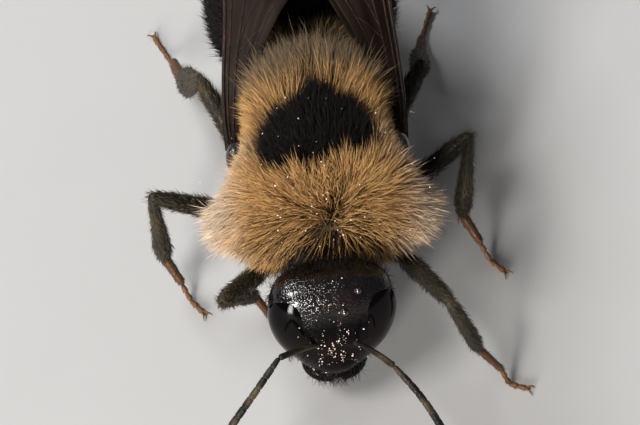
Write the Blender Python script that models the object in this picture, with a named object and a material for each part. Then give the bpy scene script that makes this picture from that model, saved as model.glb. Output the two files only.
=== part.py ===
"""A bumblebee at life size, standing still on a flat floor.

Lengths are in millimetres until a mesh is finished, which scales it to metres.
x points to the bee's own left, y from the head towards the tail, and z up from the floor.
Places are given from the middle of the thorax in x and y, and from the floor in z.
Furry pieces are drawn out to the tips of their hairs.
"""

import math

import bmesh
import bpy
from mathutils import Matrix, Vector

MM = 0.001
GAP = 0.1  # clear width between two neighbouring pieces
FAR = 9.0  # beyond the thorax either way

# The thorax's middle stands here, so that the whole bee is centred over the origin.
BODY_X = -0.441
BODY_Y = -1.906

# Thorax: an egg that is widest over the shoulders and highest just behind its middle.
# It is parted into the collar, the middle plate (scutum) and the rear plate (scutellum).
THORAX_FRONT_Y = -3.9
THORAX_REAR_Y = 4.3
THORAX_HALF_WIDTH = 4.25
SHOULDER_Y = -1.9
SHOULDER_SQUARENESS = 2.5
WAIST_AT_WINGS = 0.10  # how far the sides draw in behind the shoulders, as a share
THORAX_TOP_Y = 0.3
THORAX_POLE_Z = 5.8
THORAX_RISE = 3.5
THORAX_DROP = 3.4
THORAX_END_SHARE = 0.994  # the egg's two tips are cut off flat just short of its ends
COLLAR_END_Y = -1.45
SCUTUM_END_Y = 1.9

# Abdomen: a spindle with its widest place ahead of its middle and a drooping tail. Its
# six segments end at these shares of its length.
ABDOMEN_FRONT_Y = 3.75
ABDOMEN_LENGTH = 9.0
ABDOMEN_HALF_WIDTH = 3.85
ABDOMEN_HEIGHT_SHARE = 0.85
ABDOMEN_TAPER = 0.28
ABDOMEN_SWELL = 1.0  # below 1, the widest place is ahead of the middle
ABDOMEN_Z = 4.4
ABDOMEN_DROOP = 2.0
ABDOMEN_BEND = 1.8  # how late the droop sets in
SEGMENT_ENDS = (0.0, 0.14, 0.34, 0.53, 0.70, 0.85, 1.0)

# Head: stations from the mouth up to the crown, each with its half width, and how far
# it reaches forward and back from the head's middle plane.
HEAD_MIDDLE = (0.10, -4.83, 3.42)
HEAD_TURN = math.radians(4.0)
HEAD_LEAN = math.radians(9.0)
HEAD_STATIONS = (
    (-1.78, 0.92, 0.85, 0.45),
    (-1.45, 1.25, 1.12, 0.76),
    (-0.95, 1.65, 1.24, 1.00),
    (-0.30, 2.00, 1.26, 1.18),
    (0.45, 2.16, 1.18, 1.26),
    (1.15, 2.08, 1.00, 1.22),
    (1.70, 1.80, 0.76, 1.06),
    (2.06, 1.20, 0.36, 0.62),
)
# The eyes, the face plate (clypeus), the lip below it (labrum), the jaws and the tongue
# are given in the head's own directions: side, up the face and out of the face. An eye
# keeps only what lies beyond EYE_BACK on its outward side, and the face plate what lies
# further out than CLYPEUS_BACK.
EYE_MIDDLE = (1.16, 0.14, 0.31)
EYE_RADII = (0.96, 1.30, 0.84)
EYE_OUTWARD = (0.84, 0.0, 0.543)
EYE_BACK = 1.28
CLYPEUS_MIDDLE = (0.0, -0.98, 0.70)
CLYPEUS_RADII = (0.92, 0.72, 0.74)
CLYPEUS_BACK = 0.95
LABRUM_MIDDLE = (0.0, -1.86, 0.86)
LABRUM_RADII = (0.56, 0.25, 0.26)
MANDIBLE = ((0.92, -1.86, 0.30), (0.80, -2.10, 0.62), (0.36, -2.30, 0.84))
MANDIBLE_RADII = (0.32, 0.25)
PROBOSCIS = ((0.0, -2.42, 0.25), (0.0, -2.40, -0.5), (0.0, -2.2, -1.4))
PROBOSCIS_RADII = (0.36, 0.30)

NECK = ((0.08, -4.1, 3.6), (0.0, -2.6, 3.8))
NECK_RADIUS = 0.62
PETIOLE = ((0.0, 3.1, 4.4), (0.0, 4.3, 4.45))
PETIOLE_RADIUS = 0.6

# The scale over each wing root (tegula), in a hollow of the thorax.
TEGULA_MIDDLE = (2.85, -0.25, 6.25)
TEGULA_RADII = (0.48, 0.62, 0.32)
NOTCH_MIDDLE = (4.45, 0.35, 6.9)
NOTCH_RADII = (1.7, 1.5, 1.3)

# Wings, folded back over the abdomen. Each outline goes from the root to the tip and
# gives the place along y, the outer (leading) edge and the inner (trailing) edge in x.
WING_THICKNESS = 0.5
FOREWING = (
    (0.10, 3.05, 2.45),
    (1.20, 3.08, 2.20),
    (2.60, 2.98, 1.80),
    (4.00, 2.84, 1.00),
    (5.20, 2.78, 0.00),
    (6.80, 2.80, -1.10),
    (8.60, 2.88, -1.72),
    (10.4, 2.84, -1.62),
    (12.0, 2.50, -0.90),
    (13.0, 1.90, -0.10),
    (13.45, 1.25, 0.42),
)
HINDWING = (
    (1.30, 2.90, 2.30),
    (2.80, 2.80, 1.80),
    (4.40, 2.66, 0.90),
    (5.60, 2.62, 0.40),
    (7.40, 2.56, 0.18),
    (9.00, 2.30, 0.24),
    (10.0, 1.75, 0.58),
    (10.35, 1.35, 0.86),
)
# They rise from the roots to a ridge that falls slowly behind, and slope away from it
# to both sides. The hind wings lie lowest, and the left forewing over the right one.
WING_ROOT_Z = 6.30
WING_RIDGE_Z = 8.22
WING_RISE_END_Y = 5.2
WING_RIDGE_FALL = 0.035
WING_ROOF = 0.105
WING_STEP = WING_THICKNESS + 0.08
WING_LEVELS = {"left": 2, "right": 1}

# Legs: the joints from the body out to the foot for each leg, and for each pair the
# radii of its five lengths at their two ends. The last length lies flat on the floor.
LEG_LENGTHS = ("coxa", "femur", "tibia", "basitarsus", "tarsus")
SOLE_Z = 0.2
LEGS = {
    "fore_left": (
        (0.9, -1.8, 3.3), (2.6, -2.1, 2.75), (3.98, -4.85, 4.0),
        (4.96, -5.55, 1.95), (5.8, -5.75, 0.75), (6.1, -5.95, SOLE_Z), (6.6, -6.15, SOLE_Z),
    ),
    "fore_right": (
        (-0.9, -2.0, 3.3), (-1.9, -2.2, 2.5), (-3.5, -4.25, 3.9),
        (-2.35, -2.75, 1.75), (-1.75, -3.2, 0.75), (-1.5, -3.6, SOLE_Z), (-1.25, -4.15, SOLE_Z),
    ),
    "mid_left": (
        (1.1, -0.3, 3.0), (2.5, 0.3, 2.2), (5.3, 1.5, 4.2),
        (5.02, 0.2, 1.35), (5.6, -0.6, 0.7), (5.95, -1.0, SOLE_Z), (6.35, -1.45, SOLE_Z),
    ),
    "mid_right": (
        (-1.1, -0.3, 3.0), (-2.5, 0.1, 2.2), (-5.58, -0.15, 4.2),
        (-5.3, -0.75, 1.35), (-4.75, -1.45, 0.7), (-4.45, -1.85, SOLE_Z), (-4.1, -2.3, SOLE_Z),
    ),
    "hind_left": (
        (1.0, 1.7, 3.2), (2.1, 2.1, 2.3), (3.9, 4.2, 4.7),
        (4.15, 6.75, 1.25), (4.4, 8.35, 0.5), (4.55, 8.9, SOLE_Z), (4.85, 9.8, SOLE_Z),
    ),
    "hind_right": (
        (-1.0, 1.7, 3.2), (-2.1, 2.1, 2.3), (-3.7, 4.1, 4.8),
        (-4.2, 6.45, 1.3), (-4.55, 8.0, 0.5), (-4.75, 8.55, SOLE_Z), (-5.15, 9.4, SOLE_Z),
    ),
}
LEG_RADII = {
    "fore": ((0.55, 0.42), (0.40, 0.36), (0.32, 0.36), (0.26, 0.25), (0.25, 0.25)),
    "mid": ((0.60, 0.45), (0.44, 0.40), (0.38, 0.46), (0.34, 0.28), (0.25, 0.25)),
    "hind": ((0.62, 0.48), (0.48, 0.42), (0.42, 0.62), (0.46, 0.34), (0.25, 0.25)),
}
HIND_SHIN_FLATNESS = 0.72  # thickness of a hind shin across the bee, as a share of its width

# Feelers: the socket in the head's own directions, and the elbow and the points of the
# whip from the thorax's middle.
FEELER_SOCKET = (0.55, -0.02, 1.24)
FEELER_RADIUS = 0.25
FEELERS = {
    "left": ((1.93, -7.39, 4.3), (2.71, -8.2, 3.7), (3.33, -8.86, 2.8), (3.8, -9.4, 1.7)),
    "right": ((-1.79, -6.94, 4.55), (-2.65, -7.81, 3.9), (-3.45, -8.44, 3.0), (-4.09, -8.84, 2.0)),
}

MATERIALS = {  # colour, roughness
    "ochre_fur": ((0.40, 0.22, 0.075), 0.9),
    "black_fur": ((0.018, 0.015, 0.012), 0.9),
    "pale_fur": ((0.62, 0.52, 0.36), 0.9),
    "black_shell": ((0.012, 0.011, 0.011), 0.25),
    "eye": ((0.03, 0.012, 0.01), 0.12),
    "horn_brown": ((0.16, 0.06, 0.018), 0.35),
    "wing": ((0.10, 0.055, 0.025), 0.3),
}
FACET_ANGLE = math.radians(40.0)

builders = {}


def body_point(x, y, z):
    """A point given from the thorax's middle and the floor, in the bee's own frame."""
    return Vector((x + BODY_X, y + BODY_Y, z))


def material(name):
    found = bpy.data.materials.get(name)
    if found:
        return found
    colour, roughness = MATERIALS[name]
    made = bpy.data.materials.new(name)
    made.use_nodes = True
    shader = made.node_tree.nodes["Principled BSDF"]
    shader.inputs["Base Color"].default_value = (*colour, 1.0)
    shader.inputs["Roughness"].default_value = roughness
    shader.inputs["Metallic"].default_value = 0.0
    made.diffuse_color = (*colour, 1.0)
    return made


def finish(name, bm):
    """The bmesh as an object in metres, with its faces pointing out and its edges smooth."""
    bmesh.ops.recalc_face_normals(bm, faces=bm.faces[:])
    bmesh.ops.scale(bm, vec=(MM, MM, MM), verts=bm.verts[:])
    mesh = bpy.data.meshes.new(name)
    bm.to_mesh(mesh)
    bm.free()
    mesh.shade_smooth()
    mesh.set_sharp_from_angle(angle=FACET_ANGLE)
    made = bpy.data.objects.new(name, mesh)
    bpy.context.scene.collection.objects.link(made)
    return made


def loft(stations, count, point):
    """A closed tube: a ring of count points at the first station, extruded to each next one.

    point(station, i) gives the place of a ring's point number i.
    """
    bm = bmesh.new()
    index = bm.verts.layers.int.new("index")
    ring = bmesh.ops.create_circle(bm, cap_ends=True, segments=count, radius=1.0)["verts"]
    for i, vert in enumerate(ring):
        vert[index] = i
        vert.co = point(stations[0], i)
    bm.faces.ensure_lookup_table()
    face = bm.faces[0]
    first = face
    for station in stations[1:]:
        grown = bmesh.ops.extrude_face_region(bm, geom=[face])["geom"]
        if face is not first:
            bmesh.ops.delete(bm, geom=[face], context="FACES_ONLY")
        face = next(item for item in grown if isinstance(item, bmesh.types.BMFace))
        for vert in face.verts:
            vert.co = point(station, vert[index])
    return bm


def ellipsoid(middle, radii, grow, segments=16, rings=10):
    bm = bmesh.new()
    bmesh.ops.create_uvsphere(bm, u_segments=segments, v_segments=rings, radius=1.0)
    bmesh.ops.scale(bm, vec=[r + grow for r in radii], verts=bm.verts[:])
    bmesh.ops.translate(bm, vec=middle, verts=bm.verts[:])
    return bm


def keep_side(bm, place, outward):
    """Cuts away what lies on the outward side of a plane, and closes the cut."""
    everything = bm.verts[:] + bm.edges[:] + bm.faces[:]
    bmesh.ops.bisect_plane(
        bm, geom=everything, plane_co=place, plane_no=outward, clear_outer=True
    )
    rim = [edge for edge in bm.edges if edge.is_boundary]
    bmesh.ops.contextual_create(bm, geom=rim)
    return bm


def turned(middle, half_width, front, back, angle):
    """A point of an oval whose front and back halves differ: front is at a quarter turn."""
    depth = front if math.sin(angle) > 0 else back
    return middle + Vector((half_width * math.cos(angle), 0.0, depth * math.sin(angle)))


def tube(path, radii, grow, sides=8, flatness=1.0):
    """A tube along the path with rounded ends, its radius running from radii[0] to radii[1].

    flatness below 1 narrows it along x.
    """
    places = [body_point(*place) for place in path]
    steps = [(b - a).length for a, b in zip(places, places[1:])]
    total = sum(steps)
    stations = []
    for k, place in enumerate(places):
        before = places[max(k - 1, 0)]
        after = places[min(k + 1, len(places) - 1)]
        share = sum(steps[:k]) / total
        radius = radii[0] + (radii[1] - radii[0]) * share + grow
        stations.append((place, (after - before).normalized(), radius))
    for end, sign in ((0, -1.0), (-1, 1.0)):
        place, along, radius = stations[end]
        rounds = [
            (place + along * sign * radius * math.sin(turn), along, radius * math.cos(turn))
            for turn in (math.radians(38), math.radians(68))
        ]
        stations = rounds[::-1] + stations if end == 0 else stations + rounds

    def point(station, i):
        place, along, radius = station
        side = along.cross(Vector((1.0, 0.0, 0.0))).normalized()
        across = side.cross(along).normalized()
        angle = 2.0 * math.pi * (i + 0.5) / sides
        return place + radius * (
            math.cos(angle) * flatness * across + math.sin(angle) * side
        )

    return loft(stations, sides, point)


def piece(name, build, look, clear_of=(), shapes=()):
    """A visible piece, cut back by the gap from the pieces in clear_of.

    build(grow) gives its bmesh, grown by that much all round. shapes are further cutters.
    """
    builders[name] = build
    made = finish(name, build(0.0))
    made.data.materials.append(material(look))
    for cutter in [clearance(other) for other in clear_of] + list(shapes):
        cut = made.modifiers.new(f"clear_of_{cutter.name}", "BOOLEAN")
        cut.operation = "DIFFERENCE"
        cut.solver = "EXACT"
        cut.object = cutter
    return made


def hidden(name, bm):
    made = finish(name, bm)
    made.hide_render = True
    made.display_type = "WIRE"
    return made


def clearance(name):
    """The cutter that keeps others a gap away from a piece."""
    label = f"{name}_clearance"
    return bpy.data.objects.get(label) or hidden(label, builders[name](GAP))


# ---------------------------------------------------------------- thorax and abdomen


def thorax_oval(y, grow):
    """(half width, top, bottom) of the thorax at a place along its length."""

    def reach(widest_y):
        end = THORAX_FRONT_Y - grow if y < widest_y else THORAX_REAR_Y + grow
        return min((y - widest_y) / (end - widest_y), 1.0)

    along = reach(SHOULDER_Y)
    if y < SHOULDER_Y:
        side = math.sqrt(1.0 - along**SHOULDER_SQUARENESS)
    else:
        side = math.sqrt(1.0 - along**2) - WAIST_AT_WINGS * math.sin(math.pi * along)
    half_width = THORAX_HALF_WIDTH * side + grow
    top = THORAX_POLE_Z + (THORAX_RISE + grow) * math.sqrt(1.0 - reach(THORAX_TOP_Y) ** 2)
    bottom = THORAX_POLE_Z - (THORAX_DROP + grow) * math.sqrt(1.0 - reach(0.0) ** 2)
    return half_width, top, bottom


def thorax_slice(start, end, grow, sides=22, rows=12):
    """The part of the thorax between two places along its length.

    Its rings lie closer towards the thorax's two ends, as on a turned ball.
    """
    middle = (THORAX_FRONT_Y + THORAX_REAR_Y) / 2.0
    limit = ((THORAX_REAR_Y - THORAX_FRONT_Y) / 2.0 + grow) * THORAX_END_SHARE
    start, end = max(start, middle - limit), min(end, middle + limit)
    rings = [middle - limit * math.cos(math.pi * k / rows) for k in range(1, rows)]
    clear = 0.15
    stations = [start] + [y for y in rings if start + clear < y < end - clear] + [end]

    def point(y, i):
        half_width, top, bottom = thorax_oval(y, grow)
        angle = 2.0 * math.pi * i / sides
        centre = body_point(0.0, y, (top + bottom) / 2.0)
        half_height = (top - bottom) / 2.0
        return turned(centre, half_width, half_height, half_height, angle)

    return loft(stations, sides, point)


def abdomen_oval(share, grow):
    """(half width, half height, middle height) at a share of the abdomen's length."""
    swell = math.sqrt(math.sin(math.pi * share**ABDOMEN_SWELL))
    half_width = ABDOMEN_HALF_WIDTH * swell * (1.0 - ABDOMEN_TAPER * share**2)
    middle = ABDOMEN_Z - ABDOMEN_DROOP * share**ABDOMEN_BEND
    return half_width + grow, half_width * ABDOMEN_HEIGHT_SHARE + grow, middle


def abdomen_slice(start, end, grow, sides=20, rows=3):
    """The segment between two shares of the abdomen's length, with one ring more at its tips."""
    half_gap = GAP / 2.0 / ABDOMEN_LENGTH
    front_tip, front_ring, rear_ring, rear_tip = 0.004, 0.02, 0.965, 0.992
    first = max(start + half_gap, front_tip)
    last = min(end - half_gap, rear_tip)
    stations = [first + (last - first) * k / rows for k in range(rows + 1)]
    if start == 0.0:
        stations[1:1] = [front_ring]
    if end == 1.0:
        stations[-1:-1] = [rear_ring]

    def point(share, i):
        half_width, half_height, middle_z = abdomen_oval(share, grow)
        middle = body_point(0.0, ABDOMEN_FRONT_Y + ABDOMEN_LENGTH * share, middle_z)
        angle = 2.0 * math.pi * i / sides
        return turned(middle, half_width, half_height, half_height, angle)

    return loft(stations, sides, point)


# ---------------------------------------------------------------- head


def head_frame():
    """From the head's own directions (side, up the face, out of the face) to the bee's."""
    turn = Matrix.Rotation(HEAD_TURN, 4, "Z")
    lean = Matrix.Rotation(math.pi / 2.0 - HEAD_LEAN, 4, "X")
    return Matrix.Translation(body_point(*HEAD_MIDDLE)) @ turn @ lean


def in_head(bm):
    bmesh.ops.transform(bm, matrix=head_frame(), verts=bm.verts[:])
    return bm


def head_capsule(grow, sides=18):
    low, high = HEAD_STATIONS[0], HEAD_STATIONS[-1]
    stations = [(low[0] - grow, *low[1:])] + list(HEAD_STATIONS[1:-1])
    stations.append((high[0] + grow, *high[1:]))

    def point(station, i):
        up, half_width, front, back = station
        angle = 2.0 * math.pi * i / sides
        depth = front + grow if math.sin(angle) > 0 else back + grow
        return Vector(
            ((half_width + grow) * math.cos(angle), up, depth * math.sin(angle))
        )

    return in_head(loft(stations, sides, point))


def eye(side, grow):
    bm = ellipsoid(EYE_MIDDLE, EYE_RADII, grow, segments=14, rings=10)
    outward = Vector(EYE_OUTWARD)
    keep_side(bm, outward * (EYE_BACK - grow), -outward)
    bmesh.ops.scale(bm, vec=(side, 1.0, 1.0), verts=bm.verts[:])
    return in_head(bm)


def clypeus(grow):
    bm = ellipsoid(CLYPEUS_MIDDLE, CLYPEUS_RADII, grow, segments=16, rings=10)
    keep_side(bm, Vector((0.0, 0.0, CLYPEUS_BACK - grow)), Vector((0.0, 0.0, -1.0)))
    return in_head(bm)


def labrum(grow):
    return in_head(ellipsoid(LABRUM_MIDDLE, LABRUM_RADII, grow, segments=12, rings=8))


def head_tube(path, radii, grow, sides=8):
    """A tube whose path is given in the head's own directions."""
    origin = body_point(0.0, 0.0, 0.0)
    return tube([head_frame() @ Vector(p) - origin for p in path], radii, grow, sides)


# ---------------------------------------------------------------- wings


def wing_height(x, y):
    """The folded wings' common surface: a low roof over the abdomen, falling to the roots."""
    share = min(max(y / WING_RISE_END_Y, 0.0), 1.0)
    ease = share * share * (3.0 - 2.0 * share)
    ridge = WING_RIDGE_Z - WING_RIDGE_FALL * max(y - WING_RISE_END_Y, 0.0)
    roof = ridge - WING_ROOF * x * x
    return WING_ROOT_Z + (roof - WING_ROOT_Z) * ease


def wing(outline, side, level, grow):
    """A thin plate between two curved faces, level steps above the lowest wing."""
    across = 5
    half = WING_THICKNESS / 2.0 + grow

    def point(station, i):
        y, outer, inner = station
        top = i < across
        share = (i if top else 2 * across - 1 - i) / (across - 1)
        lip = grow * (1.0 - 2.0 * share)
        x = outer + (inner - outer) * share + lip
        stack = WING_STEP * level * min(max(y / WING_RISE_END_Y, 0.0), 1.0)
        z = wing_height(x, y) + stack + (half if top else -half)
        return body_point(side * x, y, z)

    first, last = outline[0], outline[-1]
    stations = [(first[0] - grow, *first[1:])] + list(outline[1:-1])
    stations.append((last[0] + grow, *last[1:]))
    return loft(stations, 2 * across, point)


# ---------------------------------------------------------------- the pieces in turn


def make_head():
    for side, sign in (("left", 1.0), ("right", -1.0)):
        piece(f"eye_{side}", lambda grow, s=sign: eye(s, grow), "eye")
    piece("clypeus", clypeus, "black_shell")
    piece("labrum", labrum, "black_shell", clear_of=("clypeus",))
    neck_radii = (NECK_RADIUS, NECK_RADIUS)
    piece("neck", lambda grow: tube(NECK, neck_radii, grow, 10), "black_fur")
    for side, sign in (("left", 1.0), ("right", -1.0)):
        path = [(sign * x, up, out) for x, up, out in MANDIBLE]
        piece(
            f"mandible_{side}",
            lambda grow, p=path: head_tube(p, MANDIBLE_RADII, grow),
            "black_shell",
            clear_of=("labrum", "clypeus"),
        )
    piece(
        "proboscis",
        lambda grow: head_tube(PROBOSCIS, PROBOSCIS_RADII, grow, 10),
        "horn_brown",
        clear_of=("mandible_left", "mandible_right", "labrum"),
    )
    feeler_radii = (FEELER_RADIUS, FEELER_RADIUS)
    for side, sign in (("left", 1.0), ("right", -1.0)):
        x, up, out = FEELER_SOCKET
        socket = head_frame() @ Vector((sign * x, up, out)) - body_point(0.0, 0.0, 0.0)
        whip = FEELERS[side]
        piece(
            f"scape_{side}",
            lambda grow, ends=(socket, whip[0]): tube(ends, feeler_radii, grow),
            "black_shell",
        )
        piece(
            f"flagellum_{side}",
            lambda grow, path=whip: tube(path, feeler_radii, grow),
            "black_shell",
            clear_of=(f"scape_{side}",),
        )
    piece(
        "head",
        head_capsule,
        "black_shell",
        clear_of=(
            "eye_left", "eye_right", "clypeus", "labrum", "neck", "mandible_left",
            "mandible_right", "proboscis", "scape_left", "scape_right",
        ),
    )


def make_wings():
    for side, sign in (("left", 1.0), ("right", -1.0)):
        x, y, z = TEGULA_MIDDLE
        middle = body_point(sign * x, y, z)
        piece(
            f"tegula_{side}",
            lambda grow, m=middle: ellipsoid(m, TEGULA_RADII, grow, 12, 8),
            "black_shell",
        )
        piece(
            f"forewing_{side}",
            lambda grow, s=sign, n=WING_LEVELS[side]: wing(FOREWING, s, n, grow),
            "wing",
            clear_of=(f"tegula_{side}",),
        )
        piece(
            f"hindwing_{side}",
            lambda grow, s=sign: wing(HINDWING, s, 0, grow),
            "wing",
            clear_of=(f"forewing_{side}",),
        )


def make_body():
    builders["thorax"] = lambda grow: thorax_slice(-FAR, FAR, grow)
    petiole_radii = (PETIOLE_RADIUS, PETIOLE_RADIUS)
    piece("petiole", lambda grow: tube(PETIOLE, petiole_radii, grow, 10), "black_shell")
    notches = [
        hidden(
            f"wing_notch_{side}",
            ellipsoid(
                body_point(sign * NOTCH_MIDDLE[0], *NOTCH_MIDDLE[1:]), NOTCH_RADII, 0.0
            ),
        )
        for side, sign in (("left", 1.0), ("right", -1.0))
    ]
    wings = [f"{kind}_{side}" for kind in ("tegula", "forewing", "hindwing")
             for side in ("left", "right")]
    slices = (
        ("thorax_collar", -FAR, COLLAR_END_Y - GAP / 2.0, "ochre_fur", ["neck", "head"]),
        ("thorax_scutum", COLLAR_END_Y + GAP / 2.0, SCUTUM_END_Y - GAP / 2.0, "black_fur", []),
        ("thorax_scutellum", SCUTUM_END_Y + GAP / 2.0, FAR, "ochre_fur", ["petiole"]),
    )
    for name, start, end, look, others in slices:
        piece(
            name,
            lambda grow, a=start, b=end: thorax_slice(a, b, grow),
            look,
            clear_of=others + ([] if name == "thorax_collar" else wings),
            shapes=notches,
        )
    looks = ("ochre_fur", "black_fur", "black_fur", "pale_fur", "pale_fur", "black_fur")
    for number, look in enumerate(looks, 1):
        start, end = SEGMENT_ENDS[number - 1], SEGMENT_ENDS[number]
        piece(
            f"abdomen_{number}",
            lambda grow, a=start, b=end: abdomen_slice(a, b, grow),
            look,
            clear_of=("thorax", "petiole") if number == 1 else (),
        )


def make_legs():
    for leg, joints in LEGS.items():
        pair = leg.split("_")[0]
        inner = "thorax"
        for number, length in enumerate(LEG_LENGTHS):
            path = joints[number:] if length == "tarsus" else joints[number : number + 2]
            flat = HIND_SHIN_FLATNESS if pair == "hind" and length == "tibia" else 1.0
            radii = LEG_RADII[pair][number]

            def build(grow, path=path, radii=radii, flat=flat, length=length):
                bm = tube(path, radii, grow, flatness=flat)
                if length == "tarsus":
                    keep_side(bm, Vector((0.0, 0.0, 0.0)), Vector((0.0, 0.0, -1.0)))
                return bm

            name = f"{leg}_{length}"
            look = "horn_brown" if "tarsus" in length else "black_fur"
            piece(name, build, look, clear_of=(inner,))
            inner = name


def main():
    for thing in list(bpy.data.objects):
        bpy.data.objects.remove(thing)
    make_head()
    make_wings()
    make_body()
    make_legs()


main()
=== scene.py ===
"""The finish, coat, wings and small parts of a life-size bumblebee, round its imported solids.

Lengths are in millimetres and in the bee's own directions: x to its left, y from the head
towards the tail, z up. Places are given from the middle of the thorax in x and y and from
the floor in z. make_piece() moves them to the frame's origin and scales them to metres.
"""

import math

import bpy
import numpy as np
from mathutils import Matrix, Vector


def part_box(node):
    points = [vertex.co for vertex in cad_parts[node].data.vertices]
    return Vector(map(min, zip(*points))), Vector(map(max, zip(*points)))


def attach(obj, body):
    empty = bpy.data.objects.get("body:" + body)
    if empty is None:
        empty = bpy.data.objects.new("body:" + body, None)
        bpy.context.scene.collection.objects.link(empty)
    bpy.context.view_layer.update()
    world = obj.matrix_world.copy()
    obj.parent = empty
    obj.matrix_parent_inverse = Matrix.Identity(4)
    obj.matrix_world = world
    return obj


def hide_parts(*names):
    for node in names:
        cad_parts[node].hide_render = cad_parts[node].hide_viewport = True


bl_info = {
    "name": "Bumblebee model",
    "version": (1, 0, 0),
    "blender": (4, 5, 0),
    "location": "3D View > Sidebar > Bumblebee",
    "description": "Builds the coat, shell, wings and stage of a standing bumblebee",
    "category": "Object",
}

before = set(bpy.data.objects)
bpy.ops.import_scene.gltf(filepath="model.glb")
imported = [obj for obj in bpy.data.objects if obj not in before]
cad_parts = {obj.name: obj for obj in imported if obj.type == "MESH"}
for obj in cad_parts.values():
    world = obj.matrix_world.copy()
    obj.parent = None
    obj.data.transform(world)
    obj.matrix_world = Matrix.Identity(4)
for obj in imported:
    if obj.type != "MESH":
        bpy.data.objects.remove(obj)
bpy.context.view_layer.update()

MM = 0.001
SIDES = (("left", 1.0), ("right", -1.0))

# ---------------------------------------------------------------- the solids' own shapes
# The same driving sizes as the solids have, so that skin and coat fit inside them.

THORAX_FRONT_Y = -3.9
THORAX_REAR_Y = 4.3
SHOULDER_Y = -1.9
SHOULDER_SQUARENESS = 2.5
WAIST_AT_WINGS = 0.10
THORAX_TOP_Y = 0.3
THORAX_POLE_Z = 5.8
THORAX_HALF_WIDTH = 4.25
THORAX_RISE = 3.5
THORAX_DROP = 3.4

ABDOMEN_FRONT_Y = 3.75
ABDOMEN_LENGTH = 9.0
ABDOMEN_HALF_WIDTH = 3.85
ABDOMEN_HEIGHT_SHARE = 0.85
ABDOMEN_TAPER = 0.28
ABDOMEN_Z = 4.4
ABDOMEN_DROOP = 2.0
ABDOMEN_BEND = 1.8
SEGMENT_ENDS = np.array((0.0, 0.14, 0.34, 0.53, 0.70, 0.85, 1.0))

HEAD_MIDDLE = np.array((0.10, -4.83, 3.42))
HEAD_TURN = math.radians(4.0)
HEAD_LEAN = math.radians(9.0)
HEAD_STATIONS = np.array((  # up, half width, reach forward, reach back
    (-1.95, 0.30, 0.30, 0.15),
    (-1.78, 0.92, 0.85, 0.45),
    (-1.45, 1.18, 1.12, 0.76),
    (-0.95, 1.56, 1.24, 1.00),
    (-0.30, 1.92, 1.26, 1.18),
    (0.45, 2.09, 1.18, 1.26),
    (1.15, 2.04, 1.00, 1.22),
    (1.70, 1.80, 0.76, 1.06),
    (2.02, 1.20, 0.40, 0.66),
    (2.14, 0.40, 0.12, 0.22),
))
EYE_ANGLE = math.radians(28.0)  # the eye's middle, round from the side to the front
EYE_HALF_ANGLE = math.radians(34.0)
EYE_UP = 0.24
EYE_HALF_HEIGHT = 1.34
EYE_LEAN = 0.34  # how much higher its inner side sits
EYE_SWELL = 0.10

WING_ROOT_Z = 6.30
WING_RIDGE_Z = 8.22
WING_RISE_END_Y = 5.2
WING_RIDGE_FALL = 0.035
WING_ROOF = 0.105
WING_STEP = 0.58
FOREWING = np.array((
    (0.10, 3.05, 2.45), (1.20, 3.08, 2.20), (2.60, 2.98, 1.80), (4.00, 2.84, 1.00),
    (5.20, 2.78, 0.00), (6.80, 2.80, -1.10), (8.60, 2.88, -1.72), (10.4, 2.84, -1.62),
    (12.0, 2.50, -0.90), (13.05, 1.80, -0.05), (13.55, 1.02, 0.66),
))
HINDWING = np.array((
    (1.30, 2.90, 2.30), (2.80, 2.80, 1.80), (4.40, 2.66, 0.90), (5.60, 2.62, 0.40),
    (7.40, 2.56, 0.18), (9.00, 2.30, 0.24), (10.0, 1.75, 0.58), (10.42, 1.24, 1.00),
))
WING_LEVELS = {"left": 2, "right": 1}

LEG_LENGTHS = ("coxa", "femur", "tibia", "basitarsus", "tarsus")
SOLE_Z = 0.2
LEGS = {
    "fore_left": (
        (0.9, -1.8, 3.3), (2.6, -2.1, 2.75), (3.98, -4.85, 4.0),
        (4.96, -5.55, 1.95), (5.8, -5.75, 0.75), (6.1, -5.95, SOLE_Z), (6.6, -6.15, SOLE_Z),
    ),
    "fore_right": (
        (-0.9, -2.0, 3.3), (-1.9, -2.2, 2.5), (-3.5, -4.25, 3.9),
        (-2.35, -2.75, 1.75), (-1.75, -3.2, 0.75), (-1.5, -3.6, SOLE_Z), (-1.25, -4.15, SOLE_Z),
    ),
    "mid_left": (
        (1.1, -0.3, 3.0), (2.5, 0.3, 2.2), (5.3, 1.5, 4.2),
        (5.02, 0.2, 1.35), (5.6, -0.6, 0.7), (5.95, -1.0, SOLE_Z), (6.35, -1.45, SOLE_Z),
    ),
    "mid_right": (
        (-1.1, -0.3, 3.0), (-2.5, 0.1, 2.2), (-5.58, -0.15, 4.2),
        (-5.3, -0.75, 1.35), (-4.75, -1.45, 0.7), (-4.45, -1.85, SOLE_Z), (-4.1, -2.3, SOLE_Z),
    ),
    "hind_left": (
        (1.0, 1.7, 3.2), (2.1, 2.1, 2.3), (3.9, 4.2, 4.7),
        (4.15, 6.75, 1.25), (4.4, 8.35, 0.5), (4.55, 8.9, SOLE_Z), (4.85, 9.8, SOLE_Z),
    ),
    "hind_right": (
        (-1.0, 1.7, 3.2), (-2.1, 2.1, 2.3), (-3.7, 4.1, 4.8),
        (-4.2, 6.45, 1.3), (-4.55, 8.0, 0.5), (-4.75, 8.55, SOLE_Z), (-5.15, 9.4, SOLE_Z),
    ),
}
FEELER_SOCKET = np.array((0.55, -0.02, 1.24))
FEELERS = {
    "left": ((1.93, -7.39, 4.3), (2.71, -8.2, 3.7), (3.33, -8.86, 2.8), (3.8, -9.4, 1.7)),
    "right": ((-1.79, -6.94, 4.55), (-2.65, -7.81, 3.9), (-3.45, -8.44, 3.0), (-4.09, -8.84, 2.0)),
}


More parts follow.
